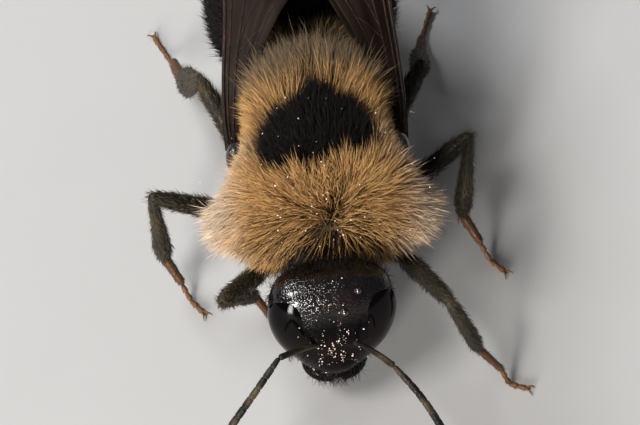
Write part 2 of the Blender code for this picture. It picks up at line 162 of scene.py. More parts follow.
def thorax_middle():
    """The middle of the thorax over the floor, in the frame and in millimetres."""
    front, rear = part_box("thorax_collar"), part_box("thorax_scutellum")
    x = (front[0].x + front[1].x) / 2.0 / MM
    y = (front[0].y + rear[1].y) / 2.0 / MM - (THORAX_FRONT_Y + THORAX_REAR_Y) / 2.0
    return np.array((x, y, 0.0))


ORIGIN = thorax_middle()

# ---------------------------------------------------------------- arrays and curves


def unit(vectors):
    return vectors / np.maximum(np.linalg.norm(vectors, axis=-1, keepdims=True), 1e-9)


def ease(low, high, value):
    """0 below low, 1 above high, and a smooth step between."""
    share = np.clip((value - low) / (high - low), 0.0, 1.0)
    return share * share * (3.0 - 2.0 * share)


def mix(first, second, share):
    return first + (second - first) * np.asarray(share)[..., None]


def through(points, places):
    """A Catmull-Rom curve through the points, read at places from 0 to their last number."""
    points = np.asarray(points, float)
    last = len(points) - 1
    padded = np.vstack([2 * points[0] - points[1], points, 2 * points[-1] - points[-2]])
    places = np.clip(np.asarray(places, float), 0.0, last - 1e-9)
    k = places.astype(int)
    f = (places - k)[:, None]
    a, b, c, d = (padded[k + step] for step in range(4))
    return 0.5 * (
        2 * b + (c - a) * f + (2 * a - 5 * b + 4 * c - d) * f**2 + (3 * b - a - 3 * c + d) * f**3
    )


def even_path(points, count):
    """count places at even steps along the curve through the points."""
    dense = through(points, np.linspace(0, len(points) - 1, 60 * len(points)))
    reach = np.concatenate([[0.0], np.cumsum(np.linalg.norm(np.diff(dense, axis=0), axis=1))])
    steps = np.linspace(0.0, reach[-1], count)
    return np.stack([np.interp(steps, reach, dense[:, axis]) for axis in range(3)], axis=1)


def profile(shares, knots):
    """A radius that eases from knot to knot, where a knot is (share of the length, radius)."""
    at, value = np.array(knots, float).T
    k = np.clip(np.searchsorted(at, shares, side="right") - 1, 0, len(at) - 2)
    return value[k] + (value[k + 1] - value[k]) * ease(0.0, 1.0, (shares - at[k]) / (at[k + 1] - at[k]))


def rounded(path, radius):
    """The radius drawn in to a point over its own length at both ends, as on a ball."""
    reach = np.concatenate([[0.0], np.cumsum(np.linalg.norm(np.diff(path, axis=0), axis=1))])
    to_end = np.minimum(reach, reach[-1] - reach)
    inside = np.clip(1.0 - to_end / np.maximum(radius, 1e-6), 0.0, 1.0)
    return radius * np.sqrt(np.maximum(1.0 - inside**2, 0.0)) + 1e-4


def swept(path, radius, sides, across=(1.0, 0.0, 0.0), flatness=1.0):
    """Rings round a path: (place, ring point, xyz). flatness narrows them along `across`."""
    along = unit(np.gradient(path, axis=0))
    up = unit(np.cross(along, np.array(across, float)))
    wide = np.cross(up, along)
    turn = 2.0 * math.pi * np.arange(sides) / sides
    ring = (
        np.cos(turn)[None, :, None] * wide[:, None] * flatness
        + np.sin(turn)[None, :, None] * up[:, None]
    )
    return path[:, None] + np.asarray(radius)[:, None, None] * ring


def rod(points, knots, rows, sides, across=(1.0, 0.0, 0.0), flatness=1.0):
    """Rings round the curve through the points, rounded off at both ends, with a radius that
    goes from knot to knot."""
    path = even_path(points, rows)
    radius = profile(np.linspace(0.0, 1.0, rows), knots)
    return swept(path, rounded(path, radius), sides, across, flatness)


def ball(middle, radii, rows=24, sides=32):
    """An ellipsoid as rings from its lowest to its highest point along the last axis."""
    turn = np.linspace(0.02, math.pi - 0.02, rows)[:, None]
    angle = 2.0 * math.pi * np.arange(sides)[None] / sides
    level = np.sin(turn)
    unit_ball = np.stack(
        [level * np.cos(angle), level * np.sin(angle), -np.cos(turn) * np.ones_like(angle)], axis=-1
    )
    return np.asarray(middle) + unit_ball * np.asarray(radii)


def sway(points, size, seed):
    """A vector that wanders smoothly from place to place, about once in every `size`.

    Each part is the sum of six sine waves in random directions.
    """
    rng = np.random.default_rng(seed)
    waves = rng.normal(size=(3, 6, 3)) * 3.6 / size
    phases = rng.random((3, 6)) * 2.0 * math.pi
    return np.stack(
        [np.sin(points @ waves[k].T + phases[k]).sum(axis=1) for k in range(3)], axis=1
    ) / 2.45


def lock_middle(points, size, seed):
    """The middle of the lock that each place belongs to: one jittered point in each cube."""
    shift = np.random.default_rng(seed).random(3)
    cell = np.floor(points / size + shift)
    noise = np.sin(cell @ np.array(((12.99, 39.35, 73.16), (78.23, 11.14, 52.24), (37.72, 83.16, 9.15))))
    jitter = np.mod(noise * 43758.5453, 1.0)
    return (cell + 0.5 + (jitter - 0.5) * 0.8 - shift) * size, jitter[:, 0]


# ---------------------------------------------------------------- meshes


def closed_sheet(grid):
    """Points and faces of rings that close round, with one point more to close each end."""
    rows, columns = grid.shape[:2]
    index = np.arange(rows * columns).reshape(rows, columns)
    after = np.roll(index, -1, axis=1)
    quads = np.stack([index[:-1], after[:-1], after[1:], index[1:]], axis=-1).reshape(-1, 4)
    start = np.full(columns, rows * columns)
    caps = [
        np.stack([start, after[0], index[0]], axis=-1),
        np.stack([start + 1, index[-1], after[-1]], axis=-1),
    ]
    points = np.vstack([grid.reshape(-1, 3), grid[0].mean(axis=0), grid[-1].mean(axis=0)])
    return outward(points, quads, np.vstack(caps))


def outward(points, quads, triangles):
    """The same faces, turned round if the volume that they close is negative."""
    corners = np.vstack([triangles, quads[:, [0, 1, 2]], quads[:, [0, 2, 3]]])
    a, b, c = (points[corners[:, k]] for k in range(3))
    if np.einsum("ij,ij->i", a, np.cross(b, c)).sum() < 0.0:
        quads, triangles = quads[:, ::-1], triangles[:, ::-1]
    return points, quads, triangles


def joined(sheets):
    """Several (points, quads, triangles) as one."""
    points, quads, triangles, start = [], [], [], 0
    for these, fours, threes in sheets:
        points.append(these)
        quads.append(fours + start)
        triangles.append(threes + start)
        start += len(these)
    return np.vstack(points), np.vstack(quads), np.vstack(triangles)


def make_piece(name, sheet, look, replaces=(), tint=None, patch=None):
    """A smooth mesh object from points in millimetres, riding on the one body."""
    points, quads, triangles = sheet
    mesh = bpy.data.meshes.new(name)
    corners = np.concatenate([quads.ravel(), triangles.ravel()]).astype(np.int32)
    starts = np.concatenate(
        [4 * np.arange(len(quads)), 4 * len(quads) + 3 * np.arange(len(triangles))]
    ).astype(np.int32)
    mesh.vertices.add(len(points))
    mesh.vertices.foreach_set("co", ((points + ORIGIN) * MM).astype(np.float32).ravel())
    mesh.loops.add(len(corners))
    mesh.loops.foreach_set("vertex_index", corners)
    mesh.polygons.add(len(starts))
    mesh.polygons.foreach_set("loop_start", starts)
    mesh.update(calc_edges=True)
    mesh.shade_smooth()
    if tint is not None:
        layer = mesh.attributes.new("tint", "FLOAT_COLOR", "POINT")
        colours = np.ones((len(points), 4), np.float32)
        colours[:, :3] = tint
        layer.data.foreach_set("color", colours.ravel())
    if patch is not None:
        layer = mesh.uv_layers.new(name="OFBake")
        layer.data.foreach_set("uv", patch[corners].astype(np.float32).ravel())
    mesh.materials.append(look)
    piece = bpy.data.objects.new(name, mesh)
    bpy.context.scene.collection.objects.link(piece)
    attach(piece, "root")
    if replaces:
        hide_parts(*replaces)
    return piece


# ---------------------------------------------------------------- hairs


def scatter(grid, density, rng, keep=None):
    """Random roots on rings of points, even by area and `density` to a square millimetre.

    keep(places) thins them by its share from 0 to 1. Gives each root's place, its normal,
    the direction along the rows, and its shares of the way along and round.
    """
    after = np.roll(grid, -1, axis=1)
    a, b, c, d = grid[:-1], after[:-1], after[1:], grid[1:]
    area = 0.5 * np.linalg.norm(np.cross(c - a, d - b), axis=-1)
    if keep is not None:
        middles = ((a + b + c + d) / 4.0).reshape(-1, 3)
        area = area * keep(middles).reshape(area.shape)
    edges = np.cumsum(area.ravel())
    count = max(int(edges[-1] * density), 1)
    pick = np.searchsorted(edges, (np.arange(count) + rng.random(count)) * edges[-1] / count)
    row, column = np.divmod(np.minimum(pick, area.size - 1), area.shape[1])
    u, v = rng.random((2, count, 1))
    a, b, c, d = (corner[row, column] for corner in (a, b, c, d))
    places = (a * (1 - u) + b * u) * (1 - v) + (d * (1 - u) + c * u) * v
    along = unit((d - a) * (1 - u) + (c - b) * u)
    normals = unit(np.cross(b - a + (c - d), along))
    inside = grid.mean(axis=1)[row]
    normals *= np.sign(np.einsum("ij,ij->i", normals, places - inside))[:, None]
    shares = np.stack([(row + v[:, 0]) / area.shape[0], (column + u[:, 0]) / area.shape[1]], axis=1)
    return places, normals, along, shares


LONG_HAIR = (0.0, 0.38, 0.74, 1.0)  # shares of a hair's length where its rings stand
SHORT_HAIR = (0.0, 0.55, 1.0)


def hairs(roots, start, end, length, thickness, rng, stations=LONG_HAIR):
    """Closed three-sided hairs that set out along `start` and turn evenly towards `end`.

    The place at share s of the length is root + length (start s + (end - start) s^2 / 2).
    Gives (hair, point, xyz), the faces and each point's share of the length.
    """
    share = np.array(stations)
    s = share[None, :, None]
    turn = (end - start)[:, None]
    middle = roots[:, None] + length[:, None, None] * (start[:, None] * s + turn * s**2 / 2.0)
    along = unit(start[:, None] + turn * s)
    any_way = unit(rng.normal(size=roots.shape))[:, None]
    side = unit(np.cross(along, any_way))
    over = np.cross(side, along)
    rings = len(stations) - 1
    angle = 2.0 * math.pi * np.arange(3) / 3.0
    width = (thickness[:, None] / 2.0) * (1.0 - 0.75 * share[None, :rings] ** 2)
    offset = (
        np.cos(angle)[None, None, :, None] * side[:, :rings, None]
        + np.sin(angle)[None, None, :, None] * over[:, :rings, None]
    ) * width[:, :, None, None]
    round_points = (middle[:, :rings, None] + offset).reshape(len(roots), 3 * rings, 3)
    points = np.concatenate([round_points, middle[:, -1:]], axis=1)
    each = points.shape[1]
    first = (np.arange(len(roots)) * each)[:, None, None]
    quads = [
        (3 * r + k, 3 * r + (k + 1) % 3, 3 * r + 3 + (k + 1) % 3, 3 * r + 3 + k)
        for r in range(rings - 1) for k in range(3)
    ]
    top = 3 * (rings - 1)
    triangles = [(top + k, top + (k + 1) % 3, each - 1) for k in range(3)] + [(0, 2, 1)]
    quads = (first + np.array(quads)[None]).reshape(-1, 4)
    triangles = (first + np.array(triangles)[None]).reshape(-1, 3)
    shares = np.append(np.repeat(share[:rings], 3), 1.0)
    return points, quads, triangles, shares


PATCH = 0.003  # side of a hair's own patch in the map for baking, as a share of the map's


def make_coat(name, rooted, rng, look, length, thickness, lift, lay, droop, lock_size,
              gather, colours, stray=0.16, stations=LONG_HAIR, sink=0.04, odd=0.0):
    """One joined piece of hairs.

    rooted is what scatter() gives. lay is the direction in which the coat lies, lift the
    slope of each hair's start over the skin in radians, droop how far it lies down again
    towards its tip, and gather how far the tips of a lock draw together. colours are the
    hairs' own at root and tip, and odd is the share of near-black hairs among them. Each hair is then
    darkened towards its root with painted shade.
    """
    roots, normals, _, shares = rooted
    count = len(roots)
    lay = unit(lay - normals * np.einsum("ij,ij->i", lay, normals)[:, None])
    length = np.broadcast_to(length, count) * rng.uniform(0.78, 1.10, count)
    length = length * np.where(rng.random(count) < 0.06, 1.28, 1.0)
    lift = np.broadcast_to(lift, count) + rng.normal(size=count) * 0.10
    loose = rng.normal(size=(count, 3)) * stray
    middle, luck = lock_middle(roots, lock_size, 11)
    pull = (middle - roots) * np.broadcast_to(gather, count)[:, None] / length[:, None]
    start = unit(lay * np.cos(lift)[:, None] + normals * np.sin(lift)[:, None] + loose)
    low = lift - droop
    end = lay * np.cos(low)[:, None] + normals * np.sin(low)[:, None] + loose * 1.6 + pull
    points, quads, triangles, along = hairs(
        roots - normals * sink, start, unit(end), length,
        np.broadcast_to(thickness, count) * rng.uniform(0.8, 1.2, count), rng, stations,
    )
    base, tip = colours
    shade = (0.88 + 0.16 * luck + 0.15 * rng.normal(size=count)).clip(0.45, 1.4)
    shade = shade * np.where(rng.random(count) < odd, 0.05, 1.0)
    tint = mix(base[:, None], tip[:, None], np.broadcast_to(ease(0.35, 1.0, along), (count, len(along))))
    # Painted shade: each hair is darker towards its root, for the shade deep inside the coat.
    depth = 0.65 + 0.35 * ease(0.0, 0.5, along)
    tint = tint * depth[None, :, None] * shade[:, None, None]
    low, high = shares.min(axis=0), shares.max(axis=0)
    corner = (shares - low) / (high - low) * (1.0 - PATCH)
    column = np.append(np.tile(np.arange(3) / 3.0, len(stations) - 1), 0.33)
    patch = corner[:, None, ::-1] + PATCH * np.stack([column, along], axis=1)[None]
    sheet = (points.reshape(-1, 3), quads, triangles)
    return make_piece(name, sheet, look, tint=tint.reshape(-1, 3), patch=patch.reshape(-1, 2))


# ---------------------------------------------------------------- the body's skin

THORAX_COAT = 1.0  # depth of the coat over the thorax's skin
ABDOMEN_COAT = 0.5
NECK = (-4.1, -2.4, 3.75, 0.55)  # from, to, height, radius
PETIOLE = (3.0, 4.7, 4.42, 0.5)
PLATE_STEP = 0.07  # how far each plate of the abdomen stands over the next
TAIL_Y = ABDOMEN_FRONT_Y + ABDOMEN_LENGTH - ABDOMEN_COAT


def thorax_oval(y):
    """Half width, top and bottom of the thorax's skin along y, and 0 width beyond its ends."""

    def reach(widest_y):
        front, rear = THORAX_FRONT_Y + THORAX_COAT, THORAX_REAR_Y - THORAX_COAT
        return np.minimum((y - widest_y) / (np.where(y < widest_y, front, rear) - widest_y), 1.0)

    along = reach(SHOULDER_Y)
    side = np.where(
        y < SHOULDER_Y,
        np.sqrt(1.0 - along**SHOULDER_SQUARENESS),
        np.sqrt(1.0 - along**2) - WAIST_AT_WINGS * np.sin(math.pi * along),
    )
    rise = (THORAX_RISE - THORAX_COAT) * np.sqrt(1.0 - reach(THORAX_TOP_Y) ** 2)
    drop = (THORAX_DROP - THORAX_COAT) * np.sqrt(1.0 - reach(0.0) ** 2)
    return (THORAX_HALF_WIDTH - THORAX_COAT) * side, THORAX_POLE_Z + rise, THORAX_POLE_Z - drop


def abdomen_share(y):
    first = ABDOMEN_FRONT_Y + 0.15
    return np.clip((y - first) / (TAIL_Y - first), 0.0, 1.0)


def abdomen_oval(y):
    """The same for the abdomen, whose plates each stand a little over the next one."""
    share = abdomen_share(y)
    swell = np.sqrt(np.sin(math.pi * share).clip(0.0))
    half_width = (ABDOMEN_HALF_WIDTH - ABDOMEN_COAT) * swell * (1.0 - ABDOMEN_TAPER * share**2)
    plate = np.clip(np.searchsorted(SEGMENT_ENDS, share, side="right") - 1, 0, 5)
    within = (share - SEGMENT_ENDS[plate]) / (SEGMENT_ENDS[plate + 1] - SEGMENT_ENDS[plate])
    half_width = half_width + PLATE_STEP * (within**2 - 0.5) * ease(0.0, 0.1, share) * (share < 0.97)
    middle = ABDOMEN_Z - ABDOMEN_DROOP * share**ABDOMEN_BEND
    half_height = half_width * ABDOMEN_HEIGHT_SHARE
    return half_width, middle + half_height, middle - half_height


def tube_oval(y, start, end, height, radius):
    """The same for a round waist that fades out at both ends."""
    here = radius * np.sqrt(ease(start - 0.01, start + 0.3, y) * ease(end + 0.01, end - 0.3, y))
    return here, height + here, height - here


def body_skin(rows=300, sides=112):
    """Rings from the neck to the tail's tip: at each y, the widest, highest and lowest of
    neck, thorax, waist and abdomen, evened out over a fifth of a millimetre."""
    y = np.linspace(NECK[0], TAIL_Y - 0.002, rows)
    ovals = [thorax_oval(y), abdomen_oval(y), tube_oval(y, *NECK), tube_oval(y, *PETIOLE)]
    there = [oval[0] > 1e-3 for oval in ovals]
    half_width = np.max([oval[0] for oval in ovals], axis=0)
    top = np.max([np.where(on, oval[1], -9.0) for on, oval in zip(there, ovals)], axis=0)
    bottom = np.min([np.where(on, oval[2], 99.0) for on, oval in zip(there, ovals)], axis=0)
    kernel = np.exp(-0.5 * (np.arange(-8, 9) * (y[1] - y[0]) / 0.10) ** 2)
    kernel /= kernel.sum()
    middle, tall = (top + bottom) / 2.0, (top - bottom) / 2.0
    inner = slice(2, -12)
    for values in (half_width, middle, tall):
        padded = np.pad(values, 8, mode="edge")
        values[inner] = np.convolve(padded, kernel, mode="valid")[inner]
    angle = 2.0 * math.pi * np.arange(sides) / sides
    return np.stack(
        [
            half_width[:, None] * np.cos(angle),
            np.repeat(y[:, None], sides, axis=1),
            middle[:, None] + tall[:, None] * np.sin(angle),
        ],
        axis=-1,
    )


# ---------------------------------------------------------------- markings

DISC_Y = -1.1  # where the dark patch on the back is widest
DISC_HALF_WIDTH = 1.85
DISC_FRONT = 1.0
DISC_REAR = 1.95
SIDE_Z = 5.9  # below the wings the sides are dark


def thorax_marks(places):
    """Shares of the dark patch, the cream at the sides of the collar and the pale fringe."""
    x, y, z = places.T
    wander = sway(places, 1.1, 3)
    x, y, z = np.abs(x + 0.16 * wander[:, 0]), y + 0.16 * wander[:, 1], z + 0.2 * wander[:, 2]
    back = ((y - DISC_Y) / DISC_REAR).clip(0.0, 1.0)
    ahead = ((DISC_Y - y) / DISC_FRONT).clip(0.0, 1.0)
    allowed = DISC_HALF_WIDTH * np.where(y > DISC_Y, 1.0 - back**2.1, np.sqrt(1.0 - ahead**4))
    disc = ease(-0.14, 0.14, allowed - x) * (z > THORAX_POLE_Z) * (ahead < 0.99)
    flank = ease(-1.35, -0.95, y) * ease(SIDE_Z + 0.35, SIDE_Z - 0.25, z)
    under = ease(4.1, 3.7, z)
    dark = np.maximum.reduce([disc, flank, under])
    cream = ease(1.5, 2.8, x) * ease(-0.4, -1.1, y)
    return dark, cream, ease(0.3, 1.2, y)


def abdomen_marks(places):
    """Shares of ochre, dark and off-white along the abdomen."""
    share = (abdomen_share(places[:, 1]) + 0.010 * sway(places, 0.8, 5)[:, 0]).clip(0.0, 1.0)
    upper = ease(-2.2, -1.2, places[:, 2] - ABDOMEN_Z + ABDOMEN_DROOP * share**ABDOMEN_BEND)
    ochre = ease(SEGMENT_ENDS[1] + 0.01, SEGMENT_ENDS[1] - 0.03, share)
    white = ease(SEGMENT_ENDS[3] - 0.02, SEGMENT_ENDS[3] + 0.03, share)
    white = white * ease(SEGMENT_ENDS[5] + 0.03, SEGMENT_ENDS[5] - 0.02, share)
    return ochre * upper, white * (0.25 + 0.75 * upper)


def body_colours(places, colours):
    """(at the root, at the tip) of the hair that grows at each place."""
    ochre, cream, dark, fringe, white, drab = (
        np.array(getattr(colours, name))
        for name in ("ochre", "cream", "dark", "fringe", "white", "drab")
    )
    night, side, rear = thorax_marks(places)
    front = mix(np.broadcast_to(ochre, places.shape), cream, side)
    # Behind the thorax the hair is partly its own duller colour and partly painted shade, for the light
    # falling off towards the rear: the roots darken to a fifth of the front's colour and the tips take the
    # fringe colour.
    base = mix(front * (1.0 - 0.78 * rear[:, None]), dark, night)
    tip = mix(mix(front * 1.12, fringe, rear * 0.85), dark, night)
    first, pale = abdomen_marks(places)
    behind = mix(mix(np.broadcast_to(dark, places.shape), drab, first), white, pale)
    tail = ease(3.4, 3.6, places[:, 1])
    return mix(base, behind, tail), mix(tip, behind, tail)


# ---------------------------------------------------------------- the head's own shapes


def head_matrix():
    """From the head's side, up-the-face and out-of-the-face directions to the bee's."""
    c, s = math.cos(HEAD_TURN), math.sin(HEAD_TURN)
    turn = np.array(((c, -s, 0.0), (s, c, 0.0), (0.0, 0.0, 1.0)))
    c, s = math.sin(HEAD_LEAN), math.cos(HEAD_LEAN)
    lean = np.array(((1.0, 0.0, 0.0), (0.0, c, -s), (0.0, s, c)))
    return turn @ lean


HEAD_MATRIX = head_matrix()


def in_head(points):
    """From the head's own directions to the bee's."""
    return np.asarray(points) @ HEAD_MATRIX.T + HEAD_MIDDLE


def from_head(places):
    """The other way: each place's side, height up the face and reach out of the face."""
    return ((places - HEAD_MIDDLE) @ np.linalg.inv(HEAD_MATRIX).T).T


def head_place(angle, up):
    """A place on the head's shell, from the angle round it (0 at the left side, a quarter
    turn at the front) and the height. Each level is two half ovals, the front one flattened
    into a broad face; a shallow furrow runs down the brow and the cheeks swell."""
    rows = through(HEAD_STATIONS, np.linspace(0, len(HEAD_STATIONS) - 1, 400))
    half_width, front, back = (np.interp(up, rows[:, 0], rows[:, k]) for k in (1, 2, 3))
    across, depth = np.cos(angle), np.sin(angle)
    squarer = 1.0 / (np.abs(across) ** 2.4 + np.abs(depth) ** 2.4) ** (1.0 / 2.4)
    side = half_width * across * squarer
    out = np.where(depth > 0.0, front, back) * depth * squarer
    facing = (depth > 0.0) * ease(0.2, 0.7, depth)
    furrow = 0.05 * np.exp(-((side / 0.10) ** 2)) * ease(0.2, 0.5, up) * ease(1.35, 0.9, up)
    socket_rise = 0.07 * np.exp(-((np.abs(side) - 0.50) ** 2 + (up - 0.05) ** 2) / 0.10)
    shield = 0.09 * np.exp(-((side / 0.62) ** 2 + ((up + 0.85) / 0.6) ** 2) ** 2)
    return np.stack([side, up + 0.0 * side, out + facing * (socket_rise + shield - furrow)], axis=-1)


def head_surface(rows=150, sides=160):
    """Rings from the mouth to the crown."""
    stations = through(HEAD_STATIONS, (len(HEAD_STATIONS) - 1) * np.linspace(0.0, 1.0, rows))
    angle = 2.0 * math.pi * np.arange(sides) / sides
    return head_place(angle[None], stations[:, :1])


def eye_surface(sign, rows=56, sides=72):
    """Rings from the middle of the eye to its rim, and back under it: a long oval patch of
    the head's own surface that swells out by the square root of its distance to the rim."""
    share = np.concatenate([np.linspace(0.02, 1.0, rows), np.linspace(0.96, 0.05, 12)])[:, None]
    turn = 2.0 * math.pi * np.arange(sides)[None] / sides
    across, along = (np.sign(f(turn)) * np.abs(f(turn)) ** 0.8 for f in (np.cos, np.sin))
    angle = EYE_ANGLE + EYE_HALF_ANGLE * share * across
    up = EYE_UP + EYE_HALF_HEIGHT * share * along + EYE_LEAN * share**2 * across
    swell = EYE_SWELL * np.sqrt(np.maximum(1.0 - share**2, 0.0)) - 0.02
    under = np.arange(len(share))[:, None] >= rows
    swell = np.where(under, -0.30 * np.sqrt(1.0 - share**2) - 0.02, swell)
    places = head_place(angle, up)
    outwards = unit(places * (1.0, 0.25, 1.0))
    places = places + outwards * swell[..., None]
    return places * (sign, 1.0, 1.0)


def face_point(side, up):
    """The place on the front of the head's shell at that side and height."""
    grid = head_surface().reshape(-1, 3)
    gap = (grid[:, 0] - side) ** 2 + (grid[:, 1] - up) ** 2 + 9.0 * (grid[:, 2] < 0.0)
    return grid[np.argmin(gap)]


# ---------------------------------------------------------------- materials


def new_material(name, colour, roughness, **sockets):
    """A Principled material; sockets are further constant inputs, with _ for a space."""
    made = bpy.data.materials.new(name)
    made.use_nodes = True
    shader = made.node_tree.nodes["Principled BSDF"]
    shader.inputs["Base Color"].default_value = (*colour, 1.0)
    shader.inputs["Roughness"].default_value = roughness
    for socket, value in sockets.items():
        shader.inputs[socket.replace("_", " ")].default_value = value
    made.diffuse_color = (*colour, 1.0)
    return made, made.node_tree.nodes, made.node_tree.links, shader


def own_place(nodes):
    """The socket that gives a place in the piece's own Object coordinates, in metres."""
    node = nodes.get("Texture Coordinate") or nodes.new("ShaderNodeTexCoord")
    return node.outputs["Object"]


def texture(nodes, links, kind, scale, **settings):
    """A procedural texture on the piece's own Object coordinates, scale to the metre."""
    node = nodes.new(kind)
    node.inputs["Scale"].default_value = scale
    for setting, value in settings.items():
        if setting in node.inputs:
            node.inputs[setting].default_value = value
        else:
            setattr(node, setting, value)
    links.new(own_place(nodes), node.inputs["Vector"])
    return node


def by_height(nodes, links, start, end, first, last):
    """A value that goes from first at the start height to last at the end one, heights in mm."""
    split = nodes.new("ShaderNodeSeparateXYZ")
    links.new(own_place(nodes), split.inputs[0])
    node = nodes.new("ShaderNodeMapRange")
    span = {"From Min": start * MM, "From Max": end * MM, "To Min": first, "To Max": last}
    for socket, value in span.items():
        node.inputs[socket].default_value = value
    links.new(split.outputs["Z"], node.inputs["Value"])
    return node.outputs["Result"]


def ramp(nodes, links, source, stops):
    """A colour ramp; stops are (place, colour)."""
    node = nodes.new("ShaderNodeValToRGB")
    elements = node.color_ramp.elements
    while len(elements) < len(stops):
        elements.new(0.5)
    for element, (place, colour) in zip(elements, stops):
        element.position = place
        element.color = (*colour, 1.0)
    links.new(source, node.inputs["Fac"])
    return node.outputs["Color"]


def blended(nodes, links, kind, first, second, share):
    """Two colours mixed; share is a number or a socket."""
    node = nodes.new("ShaderNodeMix")
    node.data_type = "RGBA"
    node.blend_type = kind
    for socket, value in ((node.inputs[0], share), (node.inputs[6], first), (node.inputs[7], second)):
        if isinstance(value, bpy.types.NodeSocket):
            links.new(value, socket)
        else:
            socket.default_value = value if isinstance(value, float) else (*value, 1.0)
    return node.outputs[2]


def bump(nodes, links, shader, height, depth, strength=1.0):
    """Relief of that depth in millimetres."""
    node = nodes.new("ShaderNodeBump")
    node.inputs["Strength"].default_value = strength
    node.inputs["Distance"].default_value = depth * MM
    links.new(height, node.inputs["Height"])
    links.new(node.outputs["Normal"], shader.inputs["Normal"])


def tint_of(nodes):
    """The socket of the colour that each point carries."""
    node = nodes.new("ShaderNodeAttribute")
    node.attribute_name = "tint"
    return node.outputs["Color"]


def coat_material(name, roughness):
    """Hair: the colour that each hair carries, varied a little from place to place."""
    made, nodes, links, shader = new_material(
        name, (0.2, 0.15, 0.1), roughness, Specular_IOR_Level=0.14
    )
    tint = tint_of(nodes)
    noise = texture(nodes, links, "ShaderNodeTexNoise", 2600.0, Detail=2.0)
    patchy = ramp(nodes, links, noise.outputs["Fac"], ((0.3, (0.82,) * 3), (0.7, (1.12,) * 3)))
    colour = blended(nodes, links, "MULTIPLY", tint, patchy, 1.0)
    links.new(colour, shader.inputs["Base Color"])
    return made


def skin_material(name):
    """Skin under the coat: its markings darkened, finely pitted, with painted shade in the pits."""
    made, nodes, links, shader = new_material(name, (0.02, 0.015, 0.01), 0.5)
    tint = tint_of(nodes)
    pits = texture(nodes, links, "ShaderNodeTexVoronoi", 9000.0)
    # Painted shade: the colour darkens towards the bottom of each pit.
    shade = ramp(nodes, links, pits.outputs["Distance"], ((0.0, (0.35,) * 3), (0.5, (1.0,) * 3)))
    colour = blended(nodes, links, "MULTIPLY", tint, shade, 1.0)
    links.new(colour, shader.inputs["Base Color"])
    bump(nodes, links, shader, pits.outputs["Distance"], 0.03)
    return made


MID_FACE_Z = 4.3
CROWN_Z = 5.6
EYE_LOW_Z = 2.6
EYE_TOP_Z = 4.4


def shell_material(name, colour, warm, roughness, pit_scale, pit_depth, warm_scale=900.0,
                   gloss=(0.14, 0.14)):
    """Polished shell, closely pitted, with a warmer brown that shows here and there. Its gloss
    goes from the first value low on the face to the second on the crown."""
    made, nodes, links, shader = new_material(name, colour, roughness)
    polish = by_height(nodes, links, MID_FACE_Z, CROWN_Z, *gloss)
    links.new(polish, shader.inputs["Specular IOR Level"])
    clouds = texture(nodes, links, "ShaderNodeTexNoise", warm_scale, Detail=3.0)
    share = ramp(nodes, links, clouds.outputs["Fac"], ((0.48, (0.0,) * 3), (0.68, (1.0,) * 3)))
    links.new(blended(nodes, links, "MIX", colour, warm, share), shader.inputs["Base Color"])
    pits = texture(nodes, links, "ShaderNodeTexVoronoi", pit_scale, Randomness=0.9)
    depth = ramp(nodes, links, pits.outputs["Distance"], ((0.10, (0.0,) * 3), (0.52, (1.0,) * 3)))
    fine = texture(nodes, links, "ShaderNodeTexNoise", pit_scale * 1.7, Detail=2.0)
    rough = ramp(
        nodes, links, fine.outputs["Fac"],
        ((0.3, (roughness * 0.75,) * 3), (0.7, (roughness * 1.5,) * 3)),
    )
    links.new(rough, shader.inputs["Roughness"])
    bump(nodes, links, shader, depth, pit_depth)
    return made


def eye_material(name, top, low):
    """Close-set facets under a gloss: near black above, dark red-brown below."""
    made, nodes, links, shader = new_material(name, top, 0.07, Specular_IOR_Level=0.12)
    depth = by_height(nodes, links, EYE_TOP_Z, EYE_LOW_Z, 0.0, 1.0)
    links.new(blended(nodes, links, "MIX", top, low, depth), shader.inputs["Base Color"])
    facets = texture(nodes, links, "ShaderNodeTexVoronoi", 34000.0, Randomness=0.15)
    bump(nodes, links, shader, facets.outputs["Distance"], 0.002, 0.35)
    return made


def wing_material(name, colour):
    """A smoky film, clouded with darker patches."""
    made, nodes, links, shader = new_material(
        name, colour, 0.50, Specular_IOR_Level=0.08, Alpha=0.80
    )
    clouds = texture(nodes, links, "ShaderNodeTexNoise", 420.0, Detail=3.0)
    dark = tuple(0.45 * c for c in colour)
    share = ramp(nodes, links, clouds.outputs["Fac"], ((0.35, (0.0,) * 3), (0.7, (1.0,) * 3)))
    links.new(blended(nodes, links, "MIX", colour, dark, share), shader.inputs["Base Color"])
    ripple = texture(nodes, links, "ShaderNodeTexNoise", 1700.0, Detail=3.0)
    bump(nodes, links, shader, ripple.outputs["Fac"], 0.06, 0.6)
    return made


def leg_material(name, colour, warm, roughness):
    return shell_material(name, colour, warm, roughness, 15000.0, 0.012, 700.0)


def lens_material(name):
    """The clear, wet-looking front of a small eye."""
    return new_material(
        name, (0.012, 0.005, 0.004), 0.05, Specular_IOR_Level=0.8, Coat_Weight=1.0, Coat_Roughness=0.03
    )[0]


def floor_material(name, colour):
    """A matt, very faintly uneven floor."""
    made, nodes, links, shader = new_material(name, colour, 0.85)
    grain = texture(nodes, links, "ShaderNodeTexNoise", 300.0, Detail=4.0)
    soft = ramp(
        nodes, links, grain.outputs["Fac"],
        ((0.3, tuple(0.985 * c for c in colour)), (0.7, tuple(colour))),
    )
    links.new(soft, shader.inputs["Base Color"])
    return made


def look(name, make, *values, **settings):
    """A material by its name, made once."""
    return bpy.data.materials.get(name) or make(name, *values, **settings)


# ---------------------------------------------------------------- settings


def colour_property(name, description, default):
    return bpy.props.FloatVectorProperty(
        name=name, description=description, subtype="COLOR", size=3, min=0.0, max=1.0, default=default
    )


def number_property(name, description, default, low, high):
    return bpy.props.FloatProperty(
        name=name, description=description, default=default, min=low, max=high
    )


